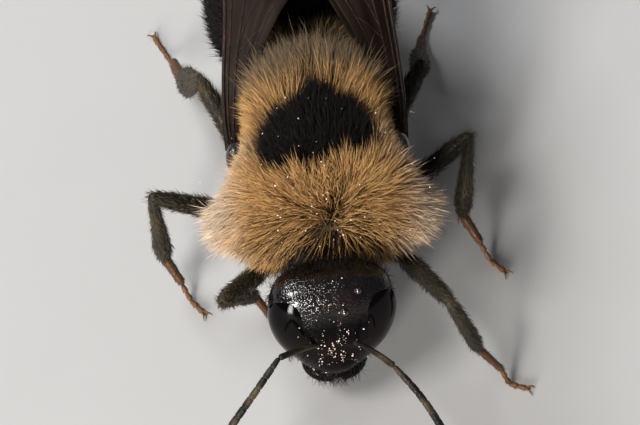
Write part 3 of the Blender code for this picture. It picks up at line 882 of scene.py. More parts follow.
class BeeColours(bpy.types.PropertyGroup):
    ochre: colour_property("Ochre", "Hair of the collar and the rear of the thorax", (0.44, 0.252, 0.096))
    cream: colour_property("Cream", "Hair at the sides of the collar", (0.53, 0.41, 0.30))
    dark: colour_property("Dark", "Black hair of the back, sides and abdomen", (0.007, 0.005, 0.0045))
    # Partly painted shade: darker than the fringe's own colour, as the light falls off towards the rear.
    fringe: colour_property("Fringe", "Tips of the long hair behind the thorax", (0.20, 0.155, 0.105))
    white: colour_property("White", "Hair of the pale tail band", (0.72, 0.64, 0.50))
    drab: colour_property("Drab", "Thin fringe at the front of the abdomen", (0.30, 0.20, 0.09))
    face: colour_property("Face", "Shell of the head", (0.0016, 0.0012, 0.0013))
    face_warm: colour_property("Warm face", "Brown that shows in the shell", (0.007, 0.0035, 0.0028))
    eye_top: colour_property("Eye above", "Upper part of the compound eyes", (0.0012, 0.0007, 0.0008))
    eye_low: colour_property("Eye below", "Lower part of the compound eyes", (0.007, 0.0014, 0.0011))
    leg: colour_property("Leg", "Shell of the legs", (0.020, 0.017, 0.012))
    foot: colour_property("Foot", "Shell of the feet", (0.13, 0.062, 0.028))
    feeler: colour_property("Feeler", "Shell of the feelers", (0.009, 0.008, 0.0065))
    wing: colour_property("Wing", "Film of the wings", (0.020, 0.012, 0.008))
    vein: colour_property("Vein", "Veins of the wings", (0.012, 0.007, 0.005))
    pollen: colour_property("Pollen", "Grains caught on the face and coat", (0.80, 0.69, 0.60))


class BeeCoat(bpy.types.PropertyGroup):
    thickness: number_property("Hair thickness", "Thickness of a long hair, in mm", 0.027, 0.01, 0.1)
    collar_density: number_property("Collar density", "Hairs to a square mm of collar", 680.0, 10.0, 900.0)
    rear_density: number_property("Rear density", "Hairs to a square mm of fringe", 560.0, 10.0, 900.0)
    back_density: number_property("Back density", "Hairs to a square mm of back", 420.0, 10.0, 900.0)
    side_density: number_property("Side density", "Hairs to a square mm of the sides", 210.0, 10.0, 900.0)
    abdomen_density: number_property("Abdomen density", "Hairs to a square mm there", 220.0, 10.0, 900.0)
    leg_density: number_property("Leg density", "Hairs to a square mm of leg", 120.0, 5.0, 900.0)
    collar_length: number_property("Collar length", "Length of the collar's hair, in mm", 1.45, 0.2, 3.0)
    fringe_length: number_property("Fringe length", "Length of the rear fringe, in mm", 1.55, 0.2, 3.0)
    back_length: number_property("Back length", "Length of the black hair, in mm", 0.85, 0.2, 3.0)
    abdomen_length: number_property("Abdomen length", "Length of the abdomen's hair, in mm", 0.70, 0.2, 3.0)


class BeeStage(bpy.types.PropertyGroup):
    floor: colour_property("Floor", "Colour of the floor", (0.42, 0.415, 0.41))
    azimuth: number_property("Azimuth", "Camera's turn round the bee, in degrees", -4.5, -180.0, 180.0)
    elevation: number_property("Elevation", "Camera's height over the floor, in degrees", 57.0, 0.0, 90.0)
    distance: number_property("Distance", "From the camera to the bee, in mm", 118.0, 50.0, 600.0)
    lens: number_property("Lens", "Focal length, in mm", 200.0, 20.0, 400.0)
    key: number_property("Key light", "Power of the main lamp, in watts", 0.78, 0.0, 5.0)
    fill: number_property("Fill light", "Power of the lamp above, in watts", 6.4, 0.0, 50.0)
    rim: number_property("Rim light", "Power of the lamp behind, in watts", 0.14, 0.0, 5.0)
    ambient: number_property("Ambient", "Strength of the room's light", 0.12, 0.0, 3.0)


# ---------------------------------------------------------------- operators: body


class BEE_OT_skin(bpy.types.Operator):
    """Neck, thorax, waist and abdomen as one skin"""

    bl_idname = "bee.skin"
    bl_label = "Skin"

    def execute(self, context):
        grid = body_skin()
        sheet = closed_sheet(grid)
        base, _ = body_colours(sheet[0], context.scene.bee_colours)
        nodes = ["neck", "thorax_collar", "thorax_scutum", "thorax_scutellum", "petiole"]
        nodes += [f"abdomen_{number}" for number in range(1, 7)]
        make_piece(
            "body_skin", sheet, look("body_skin", skin_material), nodes,
            tint=base * 0.10,
        )
        return {"FINISHED"}


PARTING = np.array((1.10, -3.42))  # where the collar's hair spreads from
BARE_SPOT = np.array((2.68, -0.30, 6.30))  # under each root scale


def thorax_lay(places):
    """Backwards behind the parting, forwards and down over the head in front of it, and
    outwards and down at the sides of the collar."""
    x, y, z = places.T
    one = np.ones(len(places))
    rear = ease(-0.8, 1.2, y)
    behind = np.stack([0.16 * (x - PARTING[0] * (1.0 - rear)) + 0.28 * rear * x, one, -0.05 * one], axis=1)
    ahead = np.stack([0.36 * (x - PARTING[0]), -0.6 * one, -0.8 * one], axis=1)
    beside = np.stack([np.sign(x), -0.20 * one, -0.50 * one], axis=1)
    lay = mix(behind, ahead, ease(0.0, 0.45, (PARTING[1] + 0.5 - y) - 0.6 * (z - 6.0)))
    lay = mix(lay, beside, ease(1.5, 2.8, np.abs(x)) * ease(-0.7, -1.5, y))
    return unit(lay) + 0.22 * sway(places, 1.3, 17)


def from_wing_root(places):
    """Distance from the bare spot at the nearer wing root."""
    return np.linalg.norm(np.abs(places) * (1, 0, 0) + places * (0, 1, 1) - BARE_SPOT, axis=1)


def front_edge(places):
    """1 along the collar's front edge, where it thins over the head and its near-black hairs are partly
    painted shade, and 0 elsewhere.
    """
    return ease(-2.58, -2.86, places[:, 1]) * ease(3.4, 2.3, np.abs(places[:, 0]))


def on_thorax(places):
    """True on the thorax's skin that bears hair, and not at its ends or the wing roots."""
    y = places[:, 1]
    return (y > -2.88) & (y < 3.25) & (from_wing_root(places) > 0.72)


def thorax_zone(places, which):
    """True where the hair of one piece of the thorax's coat grows."""
    dark, _, rear = thorax_marks(places)
    x, _, z = places.T
    pale = (z > 3.7) & (dark < 0.5)
    thin = 1.0 - 0.72 * front_edge(places)
    zones = {
        "collar_left": pale & (rear < 0.5) & (x >= 0.0),
        "collar_right": pale & (rear < 0.5) & (x < 0.0),
        "rear": pale & (rear >= 0.5),
        "back": ~pale & (z >= SIDE_Z),
        "sides": ~pale & (z < SIDE_Z),
    }
    return zones[which] * on_thorax(places) * thin


class BEE_OT_thorax_coat(bpy.types.Operator):
    """Collar, dark back, pale rear and dark sides of the thorax, hair by hair"""

    bl_idname = "bee.thorax_coat"
    bl_label = "Thorax coat"

    def execute(self, context):
        coat, colours = context.scene.bee_coat, context.scene.bee_colours
        fur = look("coat_long", coat_material, 0.48)
        grid = body_skin()
        collar = (coat.collar_density, coat.collar_length, 1.0, 0.74, 0.35, 0.28, 0.38, "ochre_fur")
        plan = (  # name, density, length, thickness, lift, droop, lock size, gather, slot
            ("collar_left", *collar),
            ("collar_right", *collar),
            ("rear", coat.rear_density, coat.fringe_length, 1.0, 0.64, 0.30, 0.36, 0.40, "ochre_fur"),
            ("back", coat.back_density, coat.back_length, 0.9, 0.72, 0.30, 0.28, 0.25, "black_fur"),
            ("sides", coat.side_density, coat.back_length, 1.0, 0.58, 0.35, 0.30, 0.30, "black_fur"),
        )
        for number, (which, density, length, width, lift, droop, lock, gather, slot) in enumerate(plan):
            rng = np.random.default_rng(100 + number)
            rooted = scatter(grid, density, rng, lambda p, w=which: thorax_zone(p, w))
            places = rooted[0]
            short = 0.20 + 0.80 * ease(0.8, 2.4, from_wing_root(places))
            short = short * (1.0 - 0.40 * ease(5.8, 4.6, places[:, 2]))
            # Along the front edge almost half the hairs turn near black: partly dark hairs mixed in, partly
            # painted shade of the gaps between the strands over the head.
            brow = front_edge(places)
            make_coat(
                f"{which}_coat", rooted, rng, fur, length * short, coat.thickness * width,
                lift, thorax_lay(places), droop, lock, gather + 0.5 * brow,
                body_colours(places, colours), odd=0.03 + 0.45 * brow,
            )
        return {"FINISHED"}


class BEE_OT_abdomen_coat(bpy.types.Operator):
    """The abdomen's coat, segment by segment"""

    bl_idname = "bee.abdomen_coat"
    bl_label = "Abdomen coat"

    def execute(self, context):
        coat, colours = context.scene.bee_coat, context.scene.bee_colours
        fur = look("coat_short", coat_material, 0.5)
        grid = body_skin()
        slots = ("ochre_fur", "black_fur", "black_fur", "pale_fur", "pale_fur", "black_fur")
        for number, slot in enumerate(slots):
            low, high = SEGMENT_ENDS[number], SEGMENT_ENDS[number + 1]

            def keep(places, low=low, high=high):
                share = abdomen_share(places[:, 1])
                return (share > max(low, 0.005)) & (share <= high) & (places[:, 1] > 3.9)

            rng = np.random.default_rng(200 + number)
            rooted = scatter(grid, coat.abdomen_density, rng, keep)
            places = rooted[0]
            one = np.ones(len(places))
            lay = np.stack([0.12 * places[:, 0], one, -0.12 * one], axis=1)
            make_coat(
                f"abdomen_coat_{number + 1}", rooted, rng, fur, coat.abdomen_length,
                coat.thickness, 0.50, lay + 0.22 * sway(places, 1.2, 23), 0.30, 0.35, 0.4,
                body_colours(places, colours), stations=SHORT_HAIR,
            )
        return {"FINISHED"}


# ---------------------------------------------------------------- operators: head


FACE_PLATE = ((0.0, -0.98, 0.70), (0.90, 0.70, 0.72))  # middle, half sizes
LIP = ((0.0, -1.82, 0.86), (0.54, 0.22, 0.24))
LIP_BRISTLES = ((0.0, -1.86, 0.76), (0.82, 0.30, 0.34))
JAW_LINE = ((0.86, -1.66, 0.22), (0.76, -1.92, 0.58), (0.44, -2.06, 0.80), (0.10, -2.09, 0.90))
JAW_RADII = ((0.0, 0.30), (0.5, 0.24), (1.0, 0.15))
JAW_FLATNESS = 0.7
TONGUE_LINE = ((0.0, -2.30, 0.35), (0.0, -2.42, -0.1), (0.0, -2.36, -0.7), (0.0, -2.2, -1.4))
TONGUE_RADII = ((0, 0.26), (0.5, 0.22), (1.0, 0.12))
SMALL_EYES = ((-0.46, 1.76, 0.12), (0.84, 1.84, 0.12), (0.28, 1.30, 0.13))  # side, up, radius


class BEE_OT_head(bpy.types.Operator):
    """Head shell, face plate, lip, jaws, tongue and the three small eyes on the crown"""

    bl_idname = "bee.head"
    bl_label = "Head"

    def execute(self, context):
        colours = context.scene.bee_colours
        shell = look("head_shell", shell_material, colours.face, colours.face_warm, 0.14,
                     13500.0, 0.0085, gloss=(0.07, 0.85))
        glass = look("small_eye", lens_material)
        horn = look("tongue_horn", leg_material, (0.10, 0.035, 0.012), (0.20, 0.08, 0.02), 0.3)
        plan = [  # name, rings in the head's own directions, node
            ("head_shell", head_surface(), "head"),
            ("face_plate", ball(*FACE_PLATE, 40, 48), "clypeus"),
            ("lip", ball(*LIP), "labrum"),
        ]
        for side, sign in SIDES:
            line = np.array(JAW_LINE) * (sign, 1.0, 1.0)
            jaw = rod(line, JAW_RADII, 30, 20, (0.0, 0.0, 1.0), JAW_FLATNESS)
            plan.append((f"jaw_{side}", jaw, f"mandible_{side}"))
        for name, rings, node in plan:
            make_piece(name, closed_sheet(in_head(rings)), shell, [node])
        sheath = rod(TONGUE_LINE, TONGUE_RADII, 40, 20)
        make_piece("tongue_sheath", closed_sheet(in_head(sheath)), horn, ["proboscis"])
        sheets = [
            closed_sheet(in_head(ball(face_point(side, up), (radius, radius, radius), 16, 20)))
            for side, up, radius in SMALL_EYES
        ]
        make_piece("small_eyes", joined(sheets), glass)
        return {"FINISHED"}


class BEE_OT_eyes(bpy.types.Operator):
    """The two compound eyes"""

    bl_idname = "bee.eyes"
    bl_label = "Eyes"

    def execute(self, context):
        colours = context.scene.bee_colours
        glass = look("compound_eye", eye_material, colours.eye_top, colours.eye_low)
        for side, sign in SIDES:
            eye = closed_sheet(in_head(eye_surface(sign)))
            make_piece(f"compound_eye_{side}", eye, glass, [f"eye_{side}"])
        return {"FINISHED"}


class BEE_OT_head_coat(bpy.types.Operator):
    """Short dark hair of face, cheeks and crown, and the bristles of the lip"""

    bl_idname = "bee.head_coat"
    bl_label = "Head coat"

    def execute(self, context):
        colours = context.scene.bee_colours
        fur = look("coat_short", coat_material, 0.5)

        def keep(places):
            side, up, out = from_head(places)
            angle = np.arctan2(out, np.abs(side))
            round_eye = (angle - EYE_ANGLE) / EYE_HALF_ANGLE
            eye = round_eye**2 + ((up - EYE_UP - EYE_LEAN * round_eye) / EYE_HALF_HEIGHT) ** 2
            crown = 0.8 * ease(1.75, 2.05, up) + 0.8 * ease(-0.1, -0.5, out)
            face = 0.10 + 0.60 * ease(-0.7, -1.5, up)
            return (eye > 1.0) * np.clip(np.maximum(crown, face), 0.0, 1.0)

        rng = np.random.default_rng(300)
        rooted = scatter(in_head(head_surface()), 90.0, rng, keep)
        places = rooted[0]
        _, up, out = from_head(places)
        down = -HEAD_MATRIX[:, 1] + HEAD_MATRIX[:, 2] * 0.3
        lay = np.where((up > 1.2)[:, None], HEAD_MATRIX[:, 1] * 0.6 - HEAD_MATRIX[:, 2] * 0.4, down)
        length = 0.15 + 0.20 * ease(1.6, 2.0, up) + 0.12 * ease(-0.8, -1.6, up)
        length = np.maximum(length, 0.34 * ease(0.0, -0.4, out))
        dark = np.broadcast_to(np.array(colours.dark), places.shape)
        grey = np.broadcast_to(np.array((0.022, 0.018, 0.014)), places.shape)
        make_coat(
            "face_hair", rooted, rng, fur, length, 0.016, 0.85,
            lay + 0.3 * sway(places, 0.8, 31), 0.25, 0.3, 0.15, (dark, grey),
            stray=0.25, stations=SHORT_HAIR, sink=0.01,
        )
        lip_grid = in_head(ball(*LIP_BRISTLES, 30, 40))
        rng = np.random.default_rng(301)
        rooted = scatter(lip_grid, 120.0, rng, lambda p: from_head(p)[1] < -1.65)
        places = rooted[0]
        lay = np.broadcast_to(-HEAD_MATRIX[:, 1] + 0.6 * HEAD_MATRIX[:, 2], places.shape)
        make_coat(
            "lip_bristles", rooted, rng, fur, 0.42, 0.016, 0.7, lay, 0.1, 0.3, 0.1,
            (np.broadcast_to(np.array(colours.dark), places.shape),
             np.broadcast_to(np.array((0.07, 0.045, 0.03)), places.shape)),
            stray=0.25, stations=SHORT_HAIR, sink=0.02,
        )
        return {"FINISHED"}


SCAPE_RADII = ((0, 0.12), (0.07, 0.12), (0.13, 0.075), (0.7, 0.105), (1, 0.11))
WHIP_RADII = ((0, 0.085), (0.14, 0.115), (0.85, 0.135), (1, 0.12))
WHIP_LENGTHS = 10


class BEE_OT_feelers(bpy.types.Operator):
    """Feelers: a bulb in its socket, a long first length, a short elbow and ten rings"""

    bl_idname = "bee.feelers"
    bl_label = "Feelers"

    def execute(self, context):
        colours = context.scene.bee_colours
        shell = look("feeler_shell", shell_material, colours.feeler,
                     (0.055, 0.040, 0.022), 0.34, 16000.0, 0.010, 1500.0)
        for side, sign in SIDES:
            socket = in_head(FEELER_SOCKET * (sign, 1.0, 0.90))
            elbow = np.array(FEELERS[side][0])
            bow = np.array((0.0, 0.0, 0.10))
            line = [socket, socket + (elbow - socket) * 0.5 + bow, elbow]
            scape = closed_sheet(rod(line, SCAPE_RADII, 60, 20))
            ring = ball(FEELER_SOCKET * (sign, 1.0, 0.93), (0.20, 0.20, 0.07), 16, 28)
            make_piece(
                f"feeler_base_{side}", joined([scape, closed_sheet(in_head(ring))]), shell,
                [f"scape_{side}"],
            )
            rows = WHIP_LENGTHS * 22
            path = even_path(FEELERS[side], rows)
            shares = np.linspace(0.0, 1.0, rows)
            within = np.mod(shares * WHIP_LENGTHS, 1.0)
            waist = 1.0 - 0.20 * np.exp(-((np.minimum(within, 1.0 - within) / 0.07) ** 2))
            radius = profile(shares, WHIP_RADII) * waist
            whip = closed_sheet(swept(path, rounded(path, radius), 20))
            make_piece(f"feeler_whip_{side}", whip, shell, [f"flagellum_{side}"])
        return {"FINISHED"}


# ---------------------------------------------------------------- operators: wings


def wing_height(x, y):
    """A low roof over the abdomen that falls to the wing roots, as the solids have it."""
    ridge = WING_RIDGE_Z - WING_RIDGE_FALL * np.maximum(y - WING_RISE_END_Y, 0.0)
    roof = ridge - WING_ROOF * x * x
    return WING_ROOT_Z + (roof - WING_ROOT_Z) * ease(0.0, WING_RISE_END_Y, y)


def wing_place(outline, side, level, along, across):
    """A place on a wing's film at shares of its length and of its width from the front edge.
    The film is pleated lightly along its length."""
    y, outer, inner = through(outline, (len(outline) - 1) * np.asarray(along)).T
    x = outer + (inner - outer) * across
    stack = WING_STEP * level * np.clip(y / WING_RISE_END_Y, 0.0, 1.0)
    pleat = 0.035 * np.sin(2.0 * math.pi * (across * 3.2 + 0.3)) * np.sin(math.pi * across)
    pleat = pleat * ease(0.05, 0.4, np.asarray(along))
    return np.stack([side * x, y, wing_height(x, y) + stack + pleat], axis=-1)


FOREWING_VEINS = (  # thickness, then (along, across) from root to end
    (0.075, ((0.0, 0.2), (0.15, 0.06), (0.35, 0.03), (0.55, 0.03), (0.66, 0.035))),
    (0.055, ((0.0, 0.35), (0.15, 0.20), (0.35, 0.12), (0.55, 0.10), (0.66, 0.05))),
    (0.060, ((0.62, 0.035), (0.66, 0.07), (0.70, 0.05))),
    (0.045, ((0.68, 0.05), (0.74, 0.16), (0.80, 0.24), (0.86, 0.20), (0.90, 0.08))),
    (0.050, ((0.0, 0.50), (0.12, 0.42), (0.26, 0.34), (0.40, 0.30), (0.50, 0.34), (0.66, 0.40))),
    (0.040, ((0.40, 0.30), (0.44, 0.20), (0.48, 0.115))),
    (0.038, ((0.48, 0.33), (0.56, 0.26), (0.66, 0.26), (0.74, 0.30), (0.80, 0.36))),
    (0.036, ((0.58, 0.26), (0.60, 0.16), (0.64, 0.08))),
    (0.036, ((0.68, 0.27), (0.70, 0.18), (0.72, 0.12))),
    (0.036, ((0.77, 0.34), (0.79, 0.28), (0.80, 0.24))),
    (0.036, ((0.26, 0.34), (0.34, 0.46), (0.44, 0.54), (0.56, 0.56))),
    (0.036, ((0.56, 0.56), (0.60, 0.46), (0.62, 0.38))),
    (0.045, ((0.0, 0.72), (0.12, 0.70), (0.24, 0.74), (0.34, 0.82))),
    (0.036, ((0.24, 0.345), (0.26, 0.54), (0.28, 0.76))),
)
HINDWING_VEINS = (
    (0.060, ((0.0, 0.25), (0.25, 0.08), (0.50, 0.05), (0.66, 0.05))),
    (0.045, ((0.0, 0.45), (0.25, 0.34), (0.50, 0.30), (0.68, 0.32), (0.80, 0.36))),
    (0.040, ((0.0, 0.65), (0.22, 0.60), (0.44, 0.62), (0.60, 0.70))),
    (0.036, ((0.50, 0.05), (0.54, 0.18), (0.56, 0.30))),
    (0.036, ((0.36, 0.32), (0.40, 0.46), (0.42, 0.61))),
)
FILM = 0.035  # thickness of a wing
ROOT_SCALE_MIDDLE = (2.72, -0.32, 6.48)
ROOT_SCALE_RADII = (0.34, 0.60, 0.36)


def wing_film(outline, side, level, rows=110, across=26):
    """Rings that run over the film and back under it."""
    along = np.linspace(0.0, 1.0, rows)
    shares = np.linspace(0.0, 1.0, across)
    over = np.stack([wing_place(outline, side, level, along, share) for share in shares], axis=1)
    rim = np.minimum(1.0, 4.0 * np.minimum(shares, 1.0 - shares) + 0.25)
    lift = np.zeros_like(over)
    lift[..., 2] = FILM / 2.0 * rim[None]
    return np.concatenate([over + lift, (over - lift)[:, ::-1]], axis=1)


class BEE_OT_wings(bpy.types.Operator):
    """Two forewings and two hind wings with their veins, and the scales over their roots"""

    bl_idname = "bee.wings"
    bl_label = "Wings"

    def execute(self, context):
        colours = context.scene.bee_colours
        film = look("wing_film", wing_material, colours.wing)
        horn = look("wing_vein", leg_material, colours.vein, (0.03, 0.014, 0.008), 0.3)
        scale_shell = look("root_scale", shell_material, (0.012, 0.010, 0.010),
                           (0.05, 0.02, 0.01), 0.2, 9000.0, 0.01, gloss=(0.60, 0.60))
        for side, sign in SIDES:
            for kind, outline, veins, level in (
                ("forewing", FOREWING, FOREWING_VEINS, WING_LEVELS[side]),
                ("hindwing", HINDWING, HINDWING_VEINS, 0),
            ):
                sheet = closed_sheet(wing_film(outline, sign, level))
                make_piece(f"{kind}_film_{side}", sheet, film, [f"{kind}_{side}"])
                tubes = []
                for thickness, points in veins:
                    shares = through(points, np.linspace(0, len(points) - 1, 40))
                    path = wing_place(outline, sign, level, shares[:, 0], shares[:, 1])
                    radius = np.linspace(thickness, thickness * 0.7, 40)
                    tubes.append(closed_sheet(swept(path, rounded(path, radius), 8)))
                make_piece(f"{kind}_veins_{side}", joined(tubes), horn)
            middle = np.array(ROOT_SCALE_MIDDLE) * (sign, 1.0, 1.0)
            scale = ball(middle, ROOT_SCALE_RADII, 28, 36)
            make_piece(
                f"root_scale_{side}", closed_sheet(scale), scale_shell,
                [f"tegula_{side}"],
            )
        return {"FINISHED"}


# ---------------------------------------------------------------- operators: legs

LEG_PROFILES = {  # (share, radius) of coxa, femur, shin and first foot length
    "fore": (
        ((0, 0.42), (0.6, 0.38), (1, 0.22)),
        ((0, 0.22), (0.35, 0.34), (0.75, 0.30), (1, 0.22)),
        ((0, 0.21), (0.25, 0.26), (0.8, 0.29), (1, 0.20)),
        ((0, 0.12), (0.2, 0.15), (0.85, 0.13), (1, 0.09)),
    ),
    "mid": (
        ((0, 0.46), (0.6, 0.40), (1, 0.24)),
        ((0, 0.22), (0.35, 0.36), (0.75, 0.30), (1, 0.19)),
        ((0, 0.18), (0.25, 0.25), (0.8, 0.37), (1, 0.24)),
        ((0, 0.14), (0.2, 0.22), (0.85, 0.19), (1, 0.10)),
    ),
    "hind": (
        ((0, 0.48), (0.6, 0.42), (1, 0.26)),
        ((0, 0.24), (0.35, 0.38), (0.75, 0.33), (1, 0.22)),
        ((0, 0.20), (0.2, 0.26), (0.75, 0.52), (1, 0.34)),
        ((0, 0.18), (0.2, 0.32), (0.8, 0.27), (1, 0.12)),
    ),
}
LEG_FLATNESS = {"fore": (1, 0.9, 0.85, 0.9), "mid": (1, 0.9, 0.8, 0.75), "hind": (1, 0.9, 0.62, 0.6)}
TOE_RADIUS = 0.105
SPUR_RADII = ((0, 0.05), (1, 0.012))
CLAW_RADII = ((0, 0.045), (1, 0.014))


def leg_rings(leg):
    """The four upper lengths of a leg as rings, each from joint to joint with a slight bow."""
    pair = leg.split("_")[0]
    joints = np.array(LEGS[leg])
    made = []
    for number in range(4):
        start, end = joints[number], joints[number + 1]
        along = unit(end - start)
        knots = LEG_PROFILES[pair][number]
        start = start - along * knots[0][1] * 0.6
        end = end + along * knots[-1][1] * 0.6
        bow = np.array((0.0, 0.0, 0.06 if number in (1, 2) else 0.0))
        line = [start, (start + end) / 2.0 + bow, end]
        made.append(rod(line, knots, 44, 28, flatness=LEG_FLATNESS[pair][number]))
    return made


def toe_rings(leg):
    """The four small lengths of a foot, each widening to its end, on the floor."""
    joints = np.array(LEGS[leg])[4:]
    toes = 4
    path = even_path(joints, toes * 20)
    path[:, 2] = np.maximum(path[:, 2] - SOLE_Z + TOE_RADIUS, TOE_RADIUS)
    made = []
    for number in range(toes):
        part = path[number * 20 : number * 20 + 20]
        radius = profile(np.linspace(0, 1, 20), ((0, 0.07), (0.7, TOE_RADIUS * 0.93), (1, 0.085)))
        part = np.vstack([part[:1] - (part[1] - part[0]) * 2.0, part, part[-1:] + (part[-1] - part[-2])])
        radius = np.concatenate([radius[:1], radius, radius[-1:]])
        part[:, 2] = np.maximum(part[:, 2], TOE_RADIUS)
        made.append(swept(part, rounded(part, radius), 16))
    return made


def spurs(leg):
    """Two thorns at the end of the shin, which the fore legs lack."""
    if leg.startswith("fore"):
        return []
    knee, heel = np.array(LEGS[leg])[2:4]
    shin = unit(heel - knee)
    made = []
    for sign in (1.0, -1.0):
        bend = heel + shin * 0.15 + (sign * 0.12, 0, 0)
        tip = heel + shin * 0.42 + np.array((sign * 0.10, 0.0, -0.02))
        made.append(closed_sheet(rod([heel - shin * 0.10, bend, tip], SPUR_RADII, 14, 10)))
    return made


def claws(leg):
    """Two hooks and a small pad at the end of the foot."""
    joints = np.array(LEGS[leg])
    ahead = unit((joints[6] - joints[5]) * (1.0, 1.0, 0.0))
    side = np.array((-ahead[1], ahead[0], 0.0))
    end = joints[6] * (1.0, 1.0, 0.0) + (0.0, 0.0, TOE_RADIUS)
    made = []
    for sign in (1.0, -1.0):
        line = [
            end - ahead * 0.05,
            end + ahead * 0.10 + side * sign * 0.08 + (0, 0, 0.05),
            end + ahead * 0.20 + side * sign * 0.15 + (0, 0, 0.02),
            end + ahead * 0.25 + side * sign * 0.17 + (0, 0, -0.08),
        ]
        made.append(rod(line, CLAW_RADII, 16, 10))
    made.append(ball(end + ahead * 0.06, (0.07, 0.07, 0.06), 10, 14))
    return made


def leg_roots(lengths, density, rng):
    """scatter() over a leg's lengths and toes together, each with its own strip of the shares,
    and the number of the length that each root is on, with 4 for all toes."""
    parts = []
    for number, rings in enumerate(lengths):
        toe = number > 3
        places, normals, along, shares = scatter(rings, density * (0.8 if toe else 1.0), rng)
        shares = np.stack([shares[:, 0], (shares[:, 1] + number) / len(lengths)], axis=1)
        parts.append((places, normals, along, shares, np.full(len(places), min(number, 4))))
    return [np.concatenate(part) for part in zip(*parts)]


class BEE_OT_legs(bpy.types.Operator):
    """Six legs: four shell lengths, spurs, a jointed foot with claws, and their hair"""

    bl_idname = "bee.legs"
    bl_label = "Legs"

    def execute(self, context):
        coat, colours = context.scene.bee_coat, context.scene.bee_colours
        shell = look("leg_shell", leg_material, colours.leg, (0.05, 0.035, 0.018), 0.33)
        horn = look("foot_horn", leg_material, colours.foot, (0.07, 0.030, 0.012), 0.34)
        heel = tuple(0.65 * c for c in colours.foot)
        heel_horn = look("heel_horn", leg_material, heel, (0.06, 0.030, 0.014), 0.34)
        fur = look("coat_short", coat_material, 0.5)
        leg_hair = np.array((0.030, 0.024, 0.016))
        leg_tip = np.array((0.19, 0.15, 0.10))
        foot_hair = np.array((0.17, 0.095, 0.045))
        for order, leg in enumerate(LEGS):
            upper = leg_rings(leg)
            foot = toe_rings(leg)
            make_piece(
                f"{leg}_leg", joined([closed_sheet(rings) for rings in upper[:3]]), shell,
                [f"{leg}_{length}" for length in LEG_LENGTHS[:3]],
            )
            heel_sheet = joined([closed_sheet(upper[3]), *spurs(leg)])
            make_piece(f"{leg}_heel", heel_sheet, heel_horn, [f"{leg}_basitarsus"])
            small = [closed_sheet(rings) for rings in [*foot, *claws(leg)]]
            make_piece(f"{leg}_foot", joined(small), horn, [f"{leg}_tarsus"])
            rng = np.random.default_rng(400 + order)
            places, normals, along, shares, part = leg_roots(upper + foot, coat.leg_density, rng)
            length = np.choose(part, (0.34, 0.32, 0.26, 0.15, 0.09))
            lift = np.choose(part, (0.6, 0.42, 0.38, 0.40, 0.5))
            warm = np.choose(part, (0.0, 0.0, 0.0, 0.55, 1.0))
            base = mix(leg_hair, foot_hair * 0.7, warm)
            tip = mix(leg_tip, foot_hair, warm)
            make_coat(
                f"{leg}_hair", (places, normals, along, shares), rng, fur, length,
                0.018, lift, along + 0.25 * sway(places, 0.9, 41), 0.2, 0.3, 0.2, (base, tip),
                stray=0.14, stations=SHORT_HAIR, sink=0.01,
            )
        return {"FINISHED"}


# ---------------------------------------------------------------- operators: small things


class BEE_OT_pollen(bpy.types.Operator):
    """Pollen grains caught on the face, the crown and the coat"""

    bl_idname = "bee.pollen"
    bl_label = "Pollen"

    def execute(self, context):
        colours = context.scene.bee_colours
        grain_look = look("pollen", shell_material, colours.pollen, (0.66, 0.38, 0.34),
                          0.5, 20000.0, 0.004, 3000.0)
        rng = np.random.default_rng(500)

        def on_face(places):
            side, up, out = from_head(places)
            middle = np.exp(-((side / 0.62) ** 2)) * (out > 0.0)
            low = 0.15 + 0.85 * ease(0.9, 0.2, up) * ease(-1.7, -1.2, up)
            clumps = ease(-0.3, 0.5, sway(places, 0.45, 41)[:, 0])
            return middle * low * (0.12 + 0.88 * clumps)

        face, face_normals, _, _ = scatter(in_head(head_surface()), 110.0, rng, on_face)

        def on_back(places):
            x, y, z = places.T
            near_head = np.exp(-((x / 1.4) ** 2) - ((y + 2.5) / 0.7) ** 2)
            return (z > 6.0) * on_thorax(places) * (y < 0.6) * (0.15 + 0.85 * near_head)

        coat, coat_normals, _, _ = scatter(body_skin(), 12.0, rng, on_back)
        places = np.vstack([face + face_normals * 0.02, coat + coat_normals * 0.92])
        sizes = 0.010 + 0.022 * rng.random(len(places)) ** 2
        grain = ball((0.0, 0.0, 0.0), (1.0, 1.0, 0.8), 5, 7)
        points, quads, triangles = closed_sheet(grain)
        stretch = rng.uniform(0.7, 1.25, (len(places), 1, 3))
        cloud = places[:, None] + points[None] * stretch * sizes[:, None, None]
        first = np.arange(len(places))[:, None, None] * len(points)
        sheet = (
            cloud.reshape(-1, 3), (quads[None] + first).reshape(-1, 4),
            (triangles[None] + first).reshape(-1, 3),
        )
        make_piece("pollen_grains", sheet, grain_look)
        return {"FINISHED"}


# ---------------------------------------------------------------- operators: stage


def aim(made, place, target):
    """Turns a lamp or camera at place to look at target, both in metres."""
    direction = target - place
    made.location = place
    made.rotation_euler = direction.to_track_quat("-Z", "Y").to_euler()


def add_lamp(name, target, direction, distance, size, watts, colour):
    """A soft rectangular lamp that looks at the target."""
    lamp = bpy.data.lights.new(name, "AREA")
    lamp.shape = "RECTANGLE"
    lamp.size, lamp.size_y = (side * MM for side in size)
    lamp.energy = watts
    lamp.color = colour
    made = bpy.data.objects.new(name, lamp)
    bpy.context.scene.collection.objects.link(made)
    aim(made, target + Vector(direction).normalized() * distance * MM, target)


LOOK_AT = np.array((-0.05, -1.78, 5.1))  # the place in the middle of the view
SENSOR_WIDTH = 36.0
FLOOR_HALF_SIDE = 1500.0
LAMPS = (  # name, direction to it, distance, size, its power's setting, colour
    ("key", (-0.42, -0.84, 0.25), 220.0, (40.0, 104.0), "key", (1.0, 0.97, 0.93)),
    ("top", (-0.50, -0.20, 0.84), 900.0, (330.0, 270.0), "fill", (1.0, 0.98, 0.95)),
    ("rim", (-0.50, 0.58, 0.64), 150.0, (60.0, 26.0), "rim", (0.95, 0.97, 1.0)),
)


